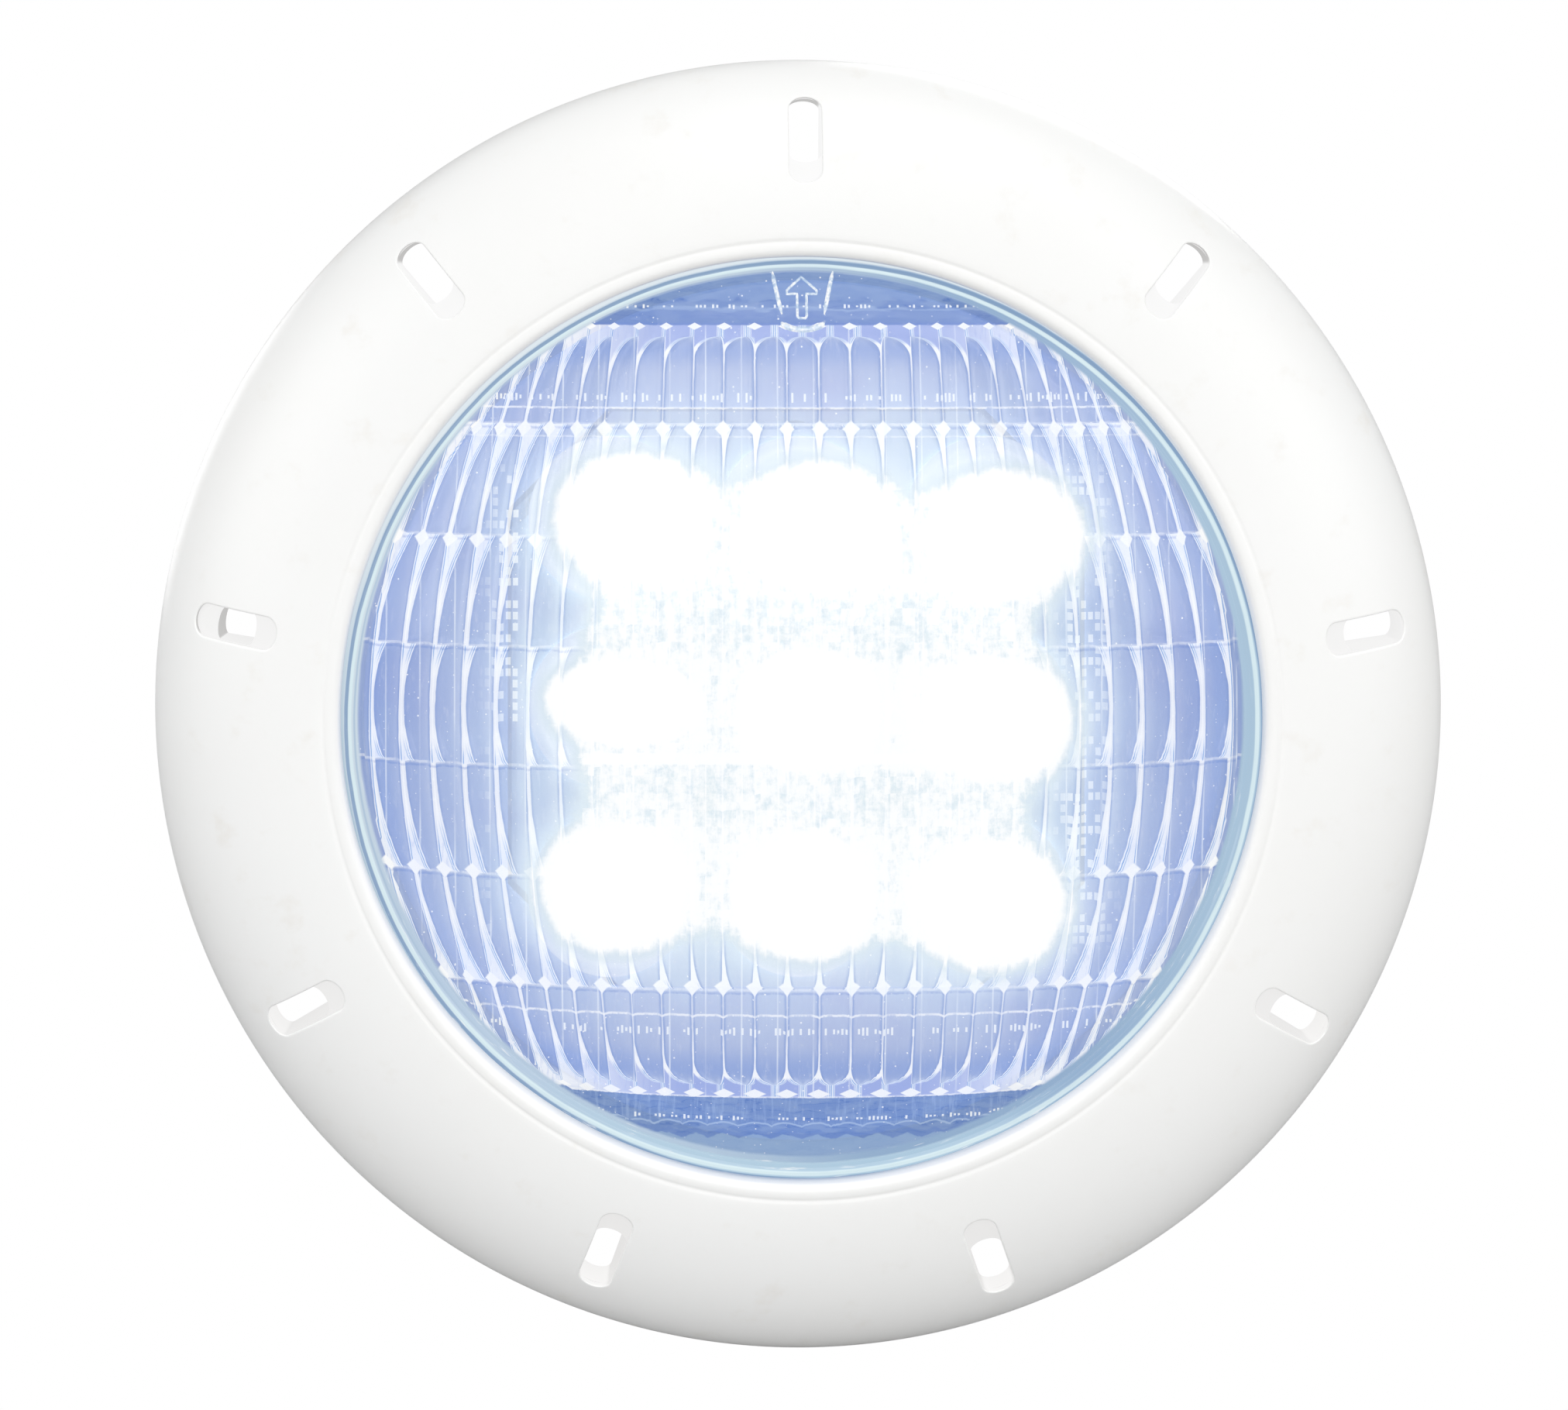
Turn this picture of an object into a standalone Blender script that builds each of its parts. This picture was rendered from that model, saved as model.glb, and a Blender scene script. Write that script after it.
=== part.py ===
"""Underwater pool light, large-niche size: domed face ring, lens, sealed LED lamp and cable.

Every piece is modelled in the light's own axis frame and parented to an empty:
local +Z is the optical axis towards the swimmer, local +Y is up, local z = 0 is the pool wall plane.
The empty turns that frame so that world +Z is up and the light faces world -Y,
and sets it back so that the world origin is the centre of the housing's flat rear boss.

Sizes are in millimetres. "Front" is local +Z and "rear" is local -Z.
A box is (x0, x1, y0, y1, z0, z1); a turned profile is a list of (radius, z).
"""

import math

import bmesh
import bpy
from mathutils import Matrix, Vector

MM = 0.001

# ---- driving dimensions --------------------------------------------------
STEPS = 36                 # facets round every large turned piece
GAP = 0.3                  # clearance kept between neighbours
DEPTH = 60.0               # wall plane to the rear boss

SLOTS = 9                  # water slots, first one at 12 o'clock
LEFT_SLOT = 2              # the slot at 170 degrees is part closed by a web
LUG_SLOTS = (2, 5, 8)      # slots that carry a bayonet lug behind them
EAR_R = 112.5              # pitch radius of the clamp screws
LED_PITCH = 40.0
GLAND_Y = -50.0            # the cable gland is below the optical axis


def polar(radius, angle):
    return radius * math.cos(angle), radius * math.sin(angle)


SLOT_ANGLES = [math.radians(90.0 + 360.0 / SLOTS * k) for k in range(SLOTS)]
EAR_ANGLES = [angle + math.radians(180.0 / SLOTS) for angle in SLOT_ANGLES]
LUG_ANGLES = [SLOT_ANGLES[k] for k in LUG_SLOTS]
EAR_PLACES = [polar(EAR_R, angle) for angle in EAR_ANGLES]
HEAT_SCREWS = [polar(84.2, math.radians(degrees)) for degrees in (30, 150, 270)]
HALF_PITCH = LED_PITCH / 2
BOARD_SCREWS = [(HALF_PITCH, HALF_PITCH), (-HALF_PITCH, HALF_PITCH),
                (-HALF_PITCH, -HALF_PITCH), (HALF_PITCH, -HALF_PITCH)]
LEAD_HOLE = (0.0, 55.5)
POSTS = [(50, 30), (-50, 30), (50, -30), (-50, -30)]

# Faces along the axis that neighbouring pieces are set from
HOUSING_RIM_Z = 15.2
HOUSING_LEDGE_Z = -5.9     # the heat sink rests in front of it
HOUSING_FLOOR_Z = -55.5
CLAMP_EAR_Z = (HOUSING_RIM_Z + 2 * GAP, 18.3)
SINK_FRONT_Z = -1.6
PAD_Z = (SINK_FRONT_Z + GAP, -0.9)
BOARD_Z = (PAD_Z[1] + GAP, 1.0)
FRAME_Z = (9.0, 11.0)
DRIVER_Z = (-36.1, -34.5)
DRIVER_REAR_Z = DRIVER_Z[0] - GAP

# ---- scene ---------------------------------------------------------------
for old in list(bpy.data.objects):
    bpy.data.objects.remove(old, do_unlink=True)

parts = bpy.data.collections.new("underwater_pool_light")
cutters = bpy.data.collections.new("cutters")
for collection in (parts, cutters):
    bpy.context.scene.collection.children.link(collection)


def axis_empty(name):
    empty = bpy.data.objects.new(name, None)
    empty.location = (0.0, -DEPTH * MM, 0.0)
    empty.rotation_euler = (math.radians(90), 0.0, 0.0)
    parts.objects.link(empty)
    return empty


lamp_axis = axis_empty("lamp_axis")
ring_pivot = axis_empty("face_ring_pivot")

# ---- materials -----------------------------------------------------------
# name: (base colour, roughness, metallic)
FINISHES = {
    "white_abs": ((0.92, 0.92, 0.92), 0.32, 0.0),
    "clear_lens": ((0.72, 0.82, 0.95), 0.06, 0.0),
    "silicone": ((0.80, 0.81, 0.80), 0.55, 0.0),
    "grey_polymer": ((0.78, 0.79, 0.80), 0.45, 0.0),
    "stainless": ((0.62, 0.62, 0.60), 0.28, 1.0),
    "aluminium": ((0.72, 0.74, 0.76), 0.38, 1.0),
    "thermal_pad": ((0.55, 0.62, 0.72), 0.8, 0.0),
    "board_white": ((0.86, 0.88, 0.92), 0.35, 0.0),
    "board_green": ((0.05, 0.25, 0.12), 0.4, 0.0),
    "led_chip": ((0.95, 0.95, 0.85), 0.3, 0.0),
    "optic_clear": ((0.85, 0.92, 1.0), 0.05, 0.0),
    "bezel_blue": ((0.30, 0.42, 0.80), 0.35, 0.0),
    "nylon_black": ((0.04, 0.04, 0.045), 0.45, 0.0),
    "copper": ((0.72, 0.40, 0.22), 0.35, 1.0),
    "capacitor": ((0.08, 0.10, 0.22), 0.35, 0.0),
    "connector": ((0.10, 0.35, 0.20), 0.4, 0.0),
    "cable_jacket": ((0.035, 0.035, 0.04), 0.55, 0.0),
    "core_brown": ((0.22, 0.09, 0.04), 0.45, 0.0),
    "core_blue": ((0.03, 0.12, 0.50), 0.45, 0.0),
    "lead_red": ((0.55, 0.03, 0.03), 0.4, 0.0),
    "lead_black": ((0.02, 0.02, 0.02), 0.4, 0.0),
}


def make_material(name, colour, roughness, metallic):
    material = bpy.data.materials.new(name)
    material.use_nodes = True
    inputs = material.node_tree.nodes["Principled BSDF"].inputs
    inputs["Base Color"].default_value = (*colour, 1.0)
    inputs["Roughness"].default_value = roughness
    inputs["Metallic"].default_value = metallic
    return material


MATERIALS = {name: make_material(name, *values) for name, values in FINISHES.items()}


# ---- objects -------------------------------------------------------------
def finish(obj, material, parent):
    """File the object under its parent; one without a material is a hidden boolean helper."""
    obj.parent = parent
    if material:
        parts.objects.link(obj)
        obj.data.materials.append(MATERIALS[material])
    else:
        cutters.objects.link(obj)
        obj.hide_render = True
        obj.display_type = "WIRE"
    return obj


def turned(name, profile, material=None, parent=lamp_axis, closed=False, steps=STEPS, at=(0, 0)):
    """Turn a (radius, z) profile about an axis through `at`; the point order sets the normals."""
    mesh = bpy.data.meshes.new(name)
    shape = bmesh.new()
    verts = [shape.verts.new((radius * MM, 0.0, z * MM)) for radius, z in profile]
    for start, stop in zip(verts, verts[1:]):
        shape.edges.new((start, stop))
    if closed:
        shape.edges.new((verts[-1], verts[0]))
    shape.to_mesh(mesh)
    shape.free()
    obj = finish(bpy.data.objects.new(name, mesh), material, parent)
    obj.location = (at[0] * MM, at[1] * MM, 0.0)
    turn = obj.modifiers.new("turn", "SCREW")
    turn.axis = "Z"
    turn.angle = math.radians(360)
    turn.steps = turn.render_steps = steps
    turn.use_merge_vertices = True
    turn.merge_threshold = 0.00001
    turn.use_smooth_shade = True
    return obj


def solid(name, build, material=None, parent=lamp_axis):
    """An object from a builder, which is a function that adds closed shapes to a bmesh."""
    mesh = bpy.data.meshes.new(name)
    shape = bmesh.new()
    build(shape)
    bmesh.ops.recalc_face_normals(shape, faces=shape.faces)
    shape.to_mesh(mesh)
    shape.free()
    return finish(bpy.data.objects.new(name, mesh), material, parent)


def combine(obj, operation, tools):
    for tool in tools:
        modifier = obj.modifiers.new(operation.lower(), "BOOLEAN")
        modifier.operation = operation
        modifier.object = tool
        modifier.solver = "EXACT"


def unite(obj, *tools):
    combine(obj, "UNION", tools)


def cut(obj, *tools):
    combine(obj, "DIFFERENCE", tools)


# ---- shapes and builders -------------------------------------------------
def add_cylinder(shape, radius, z0, z1, x, y, segments=12, front_radius=None):
    bmesh.ops.create_cone(
        shape, cap_ends=True, segments=segments, radius1=radius * MM,
        radius2=(radius if front_radius is None else front_radius) * MM, depth=(z1 - z0) * MM,
        matrix=Matrix.Translation((x * MM, y * MM, (z0 + z1) / 2 * MM)))


def add_box(shape, x0, x1, y0, y1, z0, z1, turn=0.0):
    matrix = (Matrix.Rotation(turn, 4, "Z")
              @ Matrix.Translation(((x0 + x1) / 2 * MM, (y0 + y1) / 2 * MM, (z0 + z1) / 2 * MM))
              @ Matrix.Diagonal(((x1 - x0) * MM, (y1 - y0) * MM, (z1 - z0) * MM, 1.0)))
    return bmesh.ops.create_cube(shape, size=1.0, matrix=matrix)["verts"]


def add_slot(shape, inner, outer, width, z0, z1, turn, flat=0.75):
    """A radial slot prism: a cylinder pulled apart along the radius, its ends scaled by flat."""
    half = width / 2
    verts = bmesh.ops.create_cone(shape, cap_ends=True, segments=12, radius1=half * MM,
                                  radius2=half * MM, depth=(z1 - z0) * MM)["verts"]
    for vert in verts:
        push = (outer - half * flat) if vert.co.x > 1e-7 else (inner + half * flat)
        vert.co.x = vert.co.x * flat + push * MM
        vert.co.z += (z0 + z1) / 2 * MM
    bmesh.ops.rotate(shape, verts=verts, cent=(0, 0, 0), matrix=Matrix.Rotation(turn, 3, "Z"))


def boxes(box, angles=(0.0,)):
    """Builder: the same box turned about the axis to each angle; at angle 0 its x is radial."""
    def build(shape):
        for angle in angles:
            add_box(shape, *box, turn=angle)
    return build


def cylinders(radius, z0, z1, places, segments=12, front_radius=None):
    """Builder: the same cylinder, or cone, at each (x, y) place."""
    def build(shape):
        for x, y in places:
            add_cylinder(shape, radius, z0, z1, x, y, segments, front_radius)
    return build


def together(*builders):
    def build(shape):
        for builder in builders:
            builder(shape)
    return build


def screw(name, place, head_z, head_r, head_h, shank_r, tip_z):
    """A cross-recessed pan-head screw along z, the underside of its head at head_z."""
    x, y = place
    top = head_z + head_h
    profile = [(0.0, top), (head_r * 0.72, top), (head_r, head_z + head_h * 0.5),
               (head_r, head_z), (shank_r, head_z), (shank_r, tip_z), (0.0, tip_z)]
    obj = turned(name, profile, "stainless", steps=10, at=place)
    arm, half_width = head_r * 0.52, head_r * 0.15
    floor = top - head_h * 0.5
    # the second arm reaches a little past the first so that no faces coincide
    across = solid(name + "_cut", boxes(
        (x - arm, x + arm, y - half_width, y + half_width, floor, top + 1)))
    upright = solid(name + "_cut2", boxes(
        (x - half_width, x + half_width, y - arm, y + arm, floor - 0.05, top + 1.1)))
    unite(across, upright)
    cut(obj, across)


# ---- 1 face ring ---------------------------------------------------------
RING_R = 138.0             # outside radius (276 mm over all)
RING_SKIRT = 6.0           # straight skirt before the dome starts
RING_H = 27.0              # height of the ring's inner edge over the wall
RING_FLAT_R = 97.0         # where the dome reaches its full height
RING_WALL = 2.8
RING_CHAMFER = 0.8
OPEN_R = 95.2              # ring opening
LIP_Z = 23.2               # rear of the lip round the opening

DOME_OUT = (90, 78, 65, 52, 39, 26, 13, 0)       # degrees, for the dome's front face
DOME_IN = (0, 22, 45, 67, 90)                    # degrees, for its rear face

POCKET_IN, POCKET_OUT = 110.5, 128.0
POCKET_Z = 22.5            # floor of each pocket
HOLE_IN, HOLE_OUT = 114.5, POCKET_OUT - 0.3
SLOT_W = 6.8
SLEEVE_Z = 13.4            # back of the sleeve round each slot
LEFT_HOLE_OUT = 122.4
LEFT_FLOOR_Z = 18.6
LEFT_SLEEVE_Z = 13.0

LEG_BOX = (111.9, 114.1, -4.8, 4.8, 7.2, 23.7)
FOOT_BOX = (107.9, 113.5, -6.0, 6.0, 6.6, 9.7)
RING_RIB_BOX = (119.0, 137.5, -1.0, 1.0, 0.0, 26.0)


def dome(offset, degrees):
    """Point on the ring's dome, 0 degrees at the skirt, 90 at the inner edge; offset is inwards."""
    angle = math.radians(degrees)
    return (RING_FLAT_R + (RING_R - RING_FLAT_R - offset) * math.cos(angle),
            RING_SKIRT + (RING_H - RING_SKIRT - offset) * math.sin(angle))


def under_dome(name, offset, arc_degrees, outer_z, inner_z):
    """A turned helper that trims to the space behind the dome, down to the two given heights."""
    arc = [dome(offset, degrees) for degrees in arc_degrees]
    profile = arc + [(arc[-1][0], outer_z), (arc[0][0], inner_z)]
    return turned(name, profile, parent=ring_pivot, closed=True)


def sleeves(shape):
    for k, angle in enumerate(SLOT_ANGLES):
        back = LEFT_SLEEVE_Z if k == LEFT_SLOT else SLEEVE_Z
        add_slot(shape, POCKET_IN - 2.0, POCKET_OUT + 1.8, SLOT_W + 4.0, back, 30.0, angle)


def pockets(shape):
    for k, angle in enumerate(SLOT_ANGLES):
        floor = LEFT_FLOOR_Z if k == LEFT_SLOT else POCKET_Z
        add_slot(shape, POCKET_IN, POCKET_OUT, SLOT_W, floor, 40.0, angle)


def holes(shape):
    for k, angle in enumerate(SLOT_ANGLES):
        outer, flat = (LEFT_HOLE_OUT, 0.45) if k == LEFT_SLOT else (HOLE_OUT, 0.75)
        add_slot(shape, HOLE_IN, outer, SLOT_W - 0.6, 2.0, 41.0, angle, flat=flat)


# from the inner edge out over the dome to the skirt, then back behind the dome to the lip
ring_profile = [dome(0, degrees) for degrees in DOME_OUT]
ring_profile += [(RING_R, RING_CHAMFER), (RING_R - RING_CHAMFER, 0.0), (RING_R - RING_WALL, 0.0)]
ring_profile += [dome(RING_WALL, degrees) for degrees in DOME_IN]
ring_profile += [(RING_FLAT_R, LIP_Z), (OPEN_R, LIP_Z), (OPEN_R, 25.7), (OPEN_R + 0.5, 26.6)]
face_ring = turned("face_ring", ring_profile, "white_abs", ring_pivot, closed=True)

sleeve_core = under_dome("sleeve_core", 1.0, (78, 60, 45, 30, 16), outer_z=8.0, inner_z=8.0)
slot_sleeves = solid("slot_sleeves", sleeves, parent=ring_pivot)
combine(slot_sleeves, "INTERSECT", [sleeve_core])
legs = solid("bayonet_legs", boxes(LEG_BOX, LUG_ANGLES), parent=ring_pivot)
feet = solid("bayonet_feet", boxes(FOOT_BOX, LUG_ANGLES), parent=ring_pivot)
rib_core = under_dome("rib_core", 1.2, (54, 40, 26, 12, 0), outer_z=1.0, inner_z=14.0)
ring_ribs = solid("ring_ribs", boxes(RING_RIB_BOX, EAR_ANGLES), parent=ring_pivot)
combine(ring_ribs, "INTERSECT", [rib_core])
unite(face_ring, slot_sleeves, legs, feet, ring_ribs)
cut(face_ring,
    solid("slot_pockets", pockets, parent=ring_pivot),
    solid("slot_holes", holes, parent=ring_pivot))

# ---- 2 lens --------------------------------------------------------------
LENS_R = 94.6              # shoulder of the lens in the ring opening
LENS_BASE, LENS_RISE = 23.5, 15.0
LENS_IN_R, LENS_IN_BASE, LENS_IN_RISE = 90.0, 19.0, 14.0
FRONT_RADII = [0, 26, 48, 66, 79, 87.5, 92.5, LENS_R]
REAR_RADII = [LENS_IN_R, 83, 72, 54, 30, 0]
# flange round the lens: (radius, z)
LENS_FLANGE = [(LENS_R, 17.8), (103.0, 17.8), (103.0, 12.3), (92.0, 12.3)]


def lens_face(radii, edge_r, base, rise):
    """Points on an elliptical face that rises from base at its edge."""
    return [(radius, base + rise * math.sqrt(1 - (radius / edge_r) ** 2)) for radius in radii]


turned("lens",
       lens_face(FRONT_RADII, LENS_R, LENS_BASE, LENS_RISE) + LENS_FLANGE
       + lens_face(REAR_RADII, LENS_IN_R, LENS_IN_BASE, LENS_IN_RISE),
       "clear_lens")

# ---- 3 lens gasket, a U section round the lens flange --------------------
GASKET_PROFILE = [
    (97.5, 19.3), (104.7, 19.3), (104.7, 10.4), (96.0, 10.4),
    (96.0, 12.0), (103.3, 12.0), (103.3, 18.1), (97.5, 18.1)]
turned("lens_gasket", GASKET_PROFILE, "silicone", closed=True)

# ---- 4 lens clamp ring ---------------------------------------------------
CLAMP_SKIRT_Z = HOUSING_RIM_Z + GAP
CLAMP_PROFILE = [
    (97.2, 22.3), (97.5, 22.6), (107.3, 22.6), (107.6, 22.3),
    (107.6, CLAMP_SKIRT_Z), (105.2, CLAMP_SKIRT_Z), (105.2, 19.6), (97.2, 19.6)]
EAR_IN, EAR_OUT, EAR_W = EAR_R - 6.8, EAR_R + 5.5, 11.0
EAR_BORE_R = 2.35


def ears(z0, z1):
    def build(shape):
        for angle in EAR_ANGLES:
            add_slot(shape, EAR_IN, EAR_OUT, EAR_W, z0, z1, angle, flat=1.0)
    return build


ear_bores = cylinders(EAR_BORE_R, 2.0, 24.0, EAR_PLACES)
clamp = turned("lens_clamp_ring", CLAMP_PROFILE, "grey_polymer", closed=True)
unite(clamp, solid("clamp_ears", ears(*CLAMP_EAR_Z)))
cut(clamp, solid("clamp_holes", ear_bores))

# ---- 5 clamp screws ------------------------------------------------------
for number, place in enumerate(EAR_PLACES, 1):
    screw(f"clamp_screw_{number}", place, head_z=CLAMP_EAR_Z[1] + GAP, head_r=3.7, head_h=2.1,
          shank_r=2.0, tip_z=3.4)

# ---- 6 housing -----------------------------------------------------------
# across the floor and up the inside to the rim, then down the outside to the rear boss
HOUSING_PROFILE = [
    (0.0, HOUSING_FLOOR_Z), (81.0, HOUSING_FLOOR_Z), (86.0, -50.5), (88.0, HOUSING_LEDGE_Z),
    (92.9, HOUSING_LEDGE_Z), (92.9, 10.1), (105.0, 10.1), (105.0, HOUSING_RIM_Z),
    (107.6, HOUSING_RIM_Z), (107.6, 10.0), (98.6, 10.0), (98.6, 1.0), (93.6, -9.0),
    (91.0, -49.0), (88.5, -54.5), (83.5, -58.0), (80.5, -58.5), (30.8, -58.5),
    (30.0, -59.2), (30.0, -DEPTH), (0.0, -DEPTH)]
HOUSING_EAR_Z = (7.0, HOUSING_RIM_Z - GAP)
TAB_BOX = (106.0, 111.5, -6.9, 6.9, 10.3, 12.7)
STOP_BOX = (106.2, 111.4, -9.8, -6.6, 6.6, 12.6)
HOUSING_RIBS = 18
HOUSING_RIB_BOX = (89.0, 97.2, -1.3, 1.3, -52.0, -6.4)
RIB_TAPER = 2.6            # taken off the outer edge of a rib at its rear end
HEAT_BOSS_R, HEAT_PILOT_R = 5.0, 2.0
POST_R = 3.5
GLAND_HOLE_R = 8.3


def housing_ribs(shape):
    for k in range(HOUSING_RIBS):
        angle = 2 * math.pi * (k + 0.5) / HOUSING_RIBS
        verts = add_box(shape, *HOUSING_RIB_BOX)
        for vert in verts:
            # only the outer rear corners lie past both of these limits
            if vert.co.x > 90 * MM and vert.co.z < -30 * MM:
                vert.co.x -= RIB_TAPER * MM
        bmesh.ops.rotate(shape, verts=verts, cent=(0, 0, 0), matrix=Matrix.Rotation(angle, 3, "Z"))


housing = turned("housing", HOUSING_PROFILE, "grey_polymer")
unite(housing,
      solid("housing_ears", ears(*HOUSING_EAR_Z)),
      solid("bayonet_tabs", boxes(TAB_BOX, LUG_ANGLES)),
      solid("bayonet_stops", boxes(STOP_BOX, LUG_ANGLES)),
      solid("housing_ribs", housing_ribs),
      solid("heat_sink_bosses", cylinders(HEAT_BOSS_R, -30.0, HOUSING_LEDGE_Z, HEAT_SCREWS)),
      solid("driver_posts", cylinders(POST_R, -56.0, DRIVER_REAR_Z, POSTS, segments=10)))
cut(housing, solid("housing_bores", together(
    ear_bores,
    cylinders(HEAT_PILOT_R, -20.0, 0.0, HEAT_SCREWS),
    cylinders(GLAND_HOLE_R, -70.0, -40.0, [(0.0, GLAND_Y)], segments=24))))

# ---- 7 niche hook at 6 o'clock: a bent stainless strip -------------------
HOOK_PLATE_BOX = (-8.0, 8.0, -126.0, -104.5, 4.7, 6.7)
HOOK_LEG_BOX = (-8.0, 8.0, -126.0, -124.0, -14.0, 6.2)
HOOK_TOE_BOX = (-8.0, 8.0, -132.0, -124.6, -14.0, -12.0)

hook = solid("niche_hook", boxes(HOOK_PLATE_BOX), "stainless")
unite(hook, solid("hook_leg", boxes(HOOK_LEG_BOX)), solid("hook_toe", boxes(HOOK_TOE_BOX)))
cut(hook, solid("hook_hole", cylinders(EAR_BORE_R, 0.0, 12.0, [(0.0, -EAR_R)])))

# ---- 8 heat sink: round plate with straight fins -------------------------
SINK_REAR_Z = HOUSING_LEDGE_Z + GAP
SINK_PROFILE = [(0.0, SINK_FRONT_Z), (92.0, SINK_FRONT_Z), (92.4, -2.0),
                (92.4, SINK_REAR_Z), (0.0, SINK_REAR_Z)]
FIN_X = [side * x for x in (7, 21, 35, 49, 63) for side in (-1, 1)]
FIN_CIRCLE_R = 76.0        # the fins end on this circle
FIN_HALF = 1.0             # half the fin thickness
BOARD_BORE_R = 1.85
LEAD_BORE_R = 4.6
SINK_BORE_Z = (-30.0, 5.0)


def sink_fins(shape):
    for x in FIN_X:
        half = math.sqrt(FIN_CIRCLE_R ** 2 - x * x)
        add_box(shape, x - FIN_HALF, x + FIN_HALF, -half, half, -24.0, -4.6)


def board_bores(z0, z1, screw_r):
    """Builder: the board screw holes and the hole for the LED leads."""
    return together(cylinders(screw_r, z0, z1, BOARD_SCREWS),
                    cylinders(LEAD_BORE_R, z0, z1, [LEAD_HOLE], segments=16))


heat_sink = turned("heat_sink", SINK_PROFILE, "aluminium")
unite(heat_sink, solid("sink_fins", sink_fins))
cut(heat_sink, solid("sink_bores", together(
    board_bores(*SINK_BORE_Z, BOARD_BORE_R), cylinders(2.2, *SINK_BORE_Z, HEAT_SCREWS))))
for number, place in enumerate(HEAT_SCREWS, 1):
    screw(f"heat_sink_screw_{number}", place, head_z=SINK_FRONT_Z + GAP, head_r=3.4, head_h=1.9,
          shank_r=1.7, tip_z=-17.0)

# ---- 9 thermal pad and LED board: squares with cut corners ---------------
BOARD_HALF = 62.0          # half side of the LED board
CORNER_CUT = 22.0


def cut_square(half, z0, z1):
    def build(shape):
        add_box(shape, -half, half, -half, half, z0, z1)
        upright = [edge for edge in shape.edges
                   if abs(edge.verts[0].co.x - edge.verts[1].co.x) < 1e-9
                   and abs(edge.verts[0].co.y - edge.verts[1].co.y) < 1e-9]
        bmesh.ops.bevel(shape, geom=upright, offset=CORNER_CUT * MM, offset_type="OFFSET",
                        segments=1, affect="EDGES", profile=0.5)
    return build


pad = solid("thermal_pad", cut_square(BOARD_HALF - 1.5, *PAD_Z), "thermal_pad")
cut(pad, solid("pad_bores", board_bores(-5.0, 5.0, 2.0)))
board = solid("led_board", cut_square(BOARD_HALF, *BOARD_Z), "board_white")
cut(board, solid("board_bores", board_bores(-5.1, 5.1, BOARD_BORE_R)))

# ---- 10 LED packages, collimating optics and their frame -----------------
LED_PLACES = [(column * LED_PITCH, row * LED_PITCH) for row in (1, 0, -1) for column in (-1, 0, 1)]
LED_Z = (BOARD_Z[1] + GAP, 2.3)
LED_HALF = 3.5             # half side of the package
LED_DOME_R, LED_DOME_Z = 2.5, 2.2
OPTIC_R = 17.4
OPTIC_PROFILE = [(0.0, 13.0), (OPTIC_R, 13.0), (OPTIC_R, 11.4), (15.6, 11.2), (11.6, 6.2),
                 (5.6, 3.2), (4.3, 3.2), (4.0, 5.4), (0.0, 6.2)]
FRAME_HALF = 60.0
FRAME_HOLE_R = 15.95
PILLAR_R = 4.0


def led_dome(x, y):
    """Builder: a sphere flattened more behind its centre than in front."""
    def build(shape):
        sphere = bmesh.ops.create_uvsphere(shape, u_segments=10, v_segments=6,
                                           radius=LED_DOME_R * MM)
        for vert in sphere["verts"]:
            vert.co.z *= 0.8 if vert.co.z > 0 else 0.3
            vert.co += Vector((x * MM, y * MM, LED_DOME_Z * MM))
    return build


for number, (x, y) in enumerate(LED_PLACES, 1):
    package_box = (x - LED_HALF, x + LED_HALF, y - LED_HALF, y + LED_HALF, *LED_Z)
    package = solid(f"led_{number}", boxes(package_box), "led_chip")
    unite(package, solid(f"led_{number}_dome", led_dome(x, y)))
    turned(f"optic_{number}", OPTIC_PROFILE, "optic_clear", steps=14, at=(x, y))

frame = solid("optic_frame", cut_square(FRAME_HALF, *FRAME_Z), "board_white")
unite(frame, solid("frame_pillars", cylinders(PILLAR_R, LED_Z[0], 10.0, BOARD_SCREWS)))
cut(frame, solid("frame_cut", together(
    cylinders(FRAME_HOLE_R, 5.0, 12.0, LED_PLACES, segments=18),
    cylinders(BOARD_BORE_R, 0.0, 12.1, BOARD_SCREWS))))
for number, place in enumerate(BOARD_SCREWS, 1):
    screw(f"board_screw_{number}", place, head_z=FRAME_Z[1] + GAP, head_r=2.9, head_h=1.8,
          shank_r=1.5, tip_z=-4.6)

# ---- 11 inner bezel: fills the space between the board and the housing wall
BEZEL_PROFILE = [(40.0, 3.4), (88.5, 3.4), (90.6, 5.2), (91.0, 11.6), (92.5, 11.6),
                 (92.5, 1.6), (40.0, 1.6)]
bezel = turned("inner_bezel", BEZEL_PROFILE, "bezel_blue", closed=True)
cut(bezel, solid("bezel_hole", cut_square(BOARD_HALF + 0.8, -3.0, 9.0)))

# ---- 12 driver: board, coil, capacitors, terminal block ------------------
DRIVER_BOX = (-56.0, 56.0, -36.0, 36.0, *DRIVER_Z)
COIL_R, COIL_SECTION_R = 11.5, 4.6
COIL_PLACE = (-24.0, 6.0, -41.3)
CAPACITOR_PROFILE = [(0.0, DRIVER_REAR_Z), (6.2, DRIVER_REAR_Z), (6.3, -37.0),
                     (6.3, -50.4), (5.6, -51.2), (0.0, -51.2)]
CAPACITOR_PLACES = [(14.0, 16.0), (32.0, 16.0)]
TERMINAL_BOX = (-12.0, 12.0, -32.0, -22.0, -46.5, DRIVER_REAR_Z)
PORT_X = (-6.0, 6.0)
PORT_HALF = 3.4            # half width of a wire port


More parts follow.
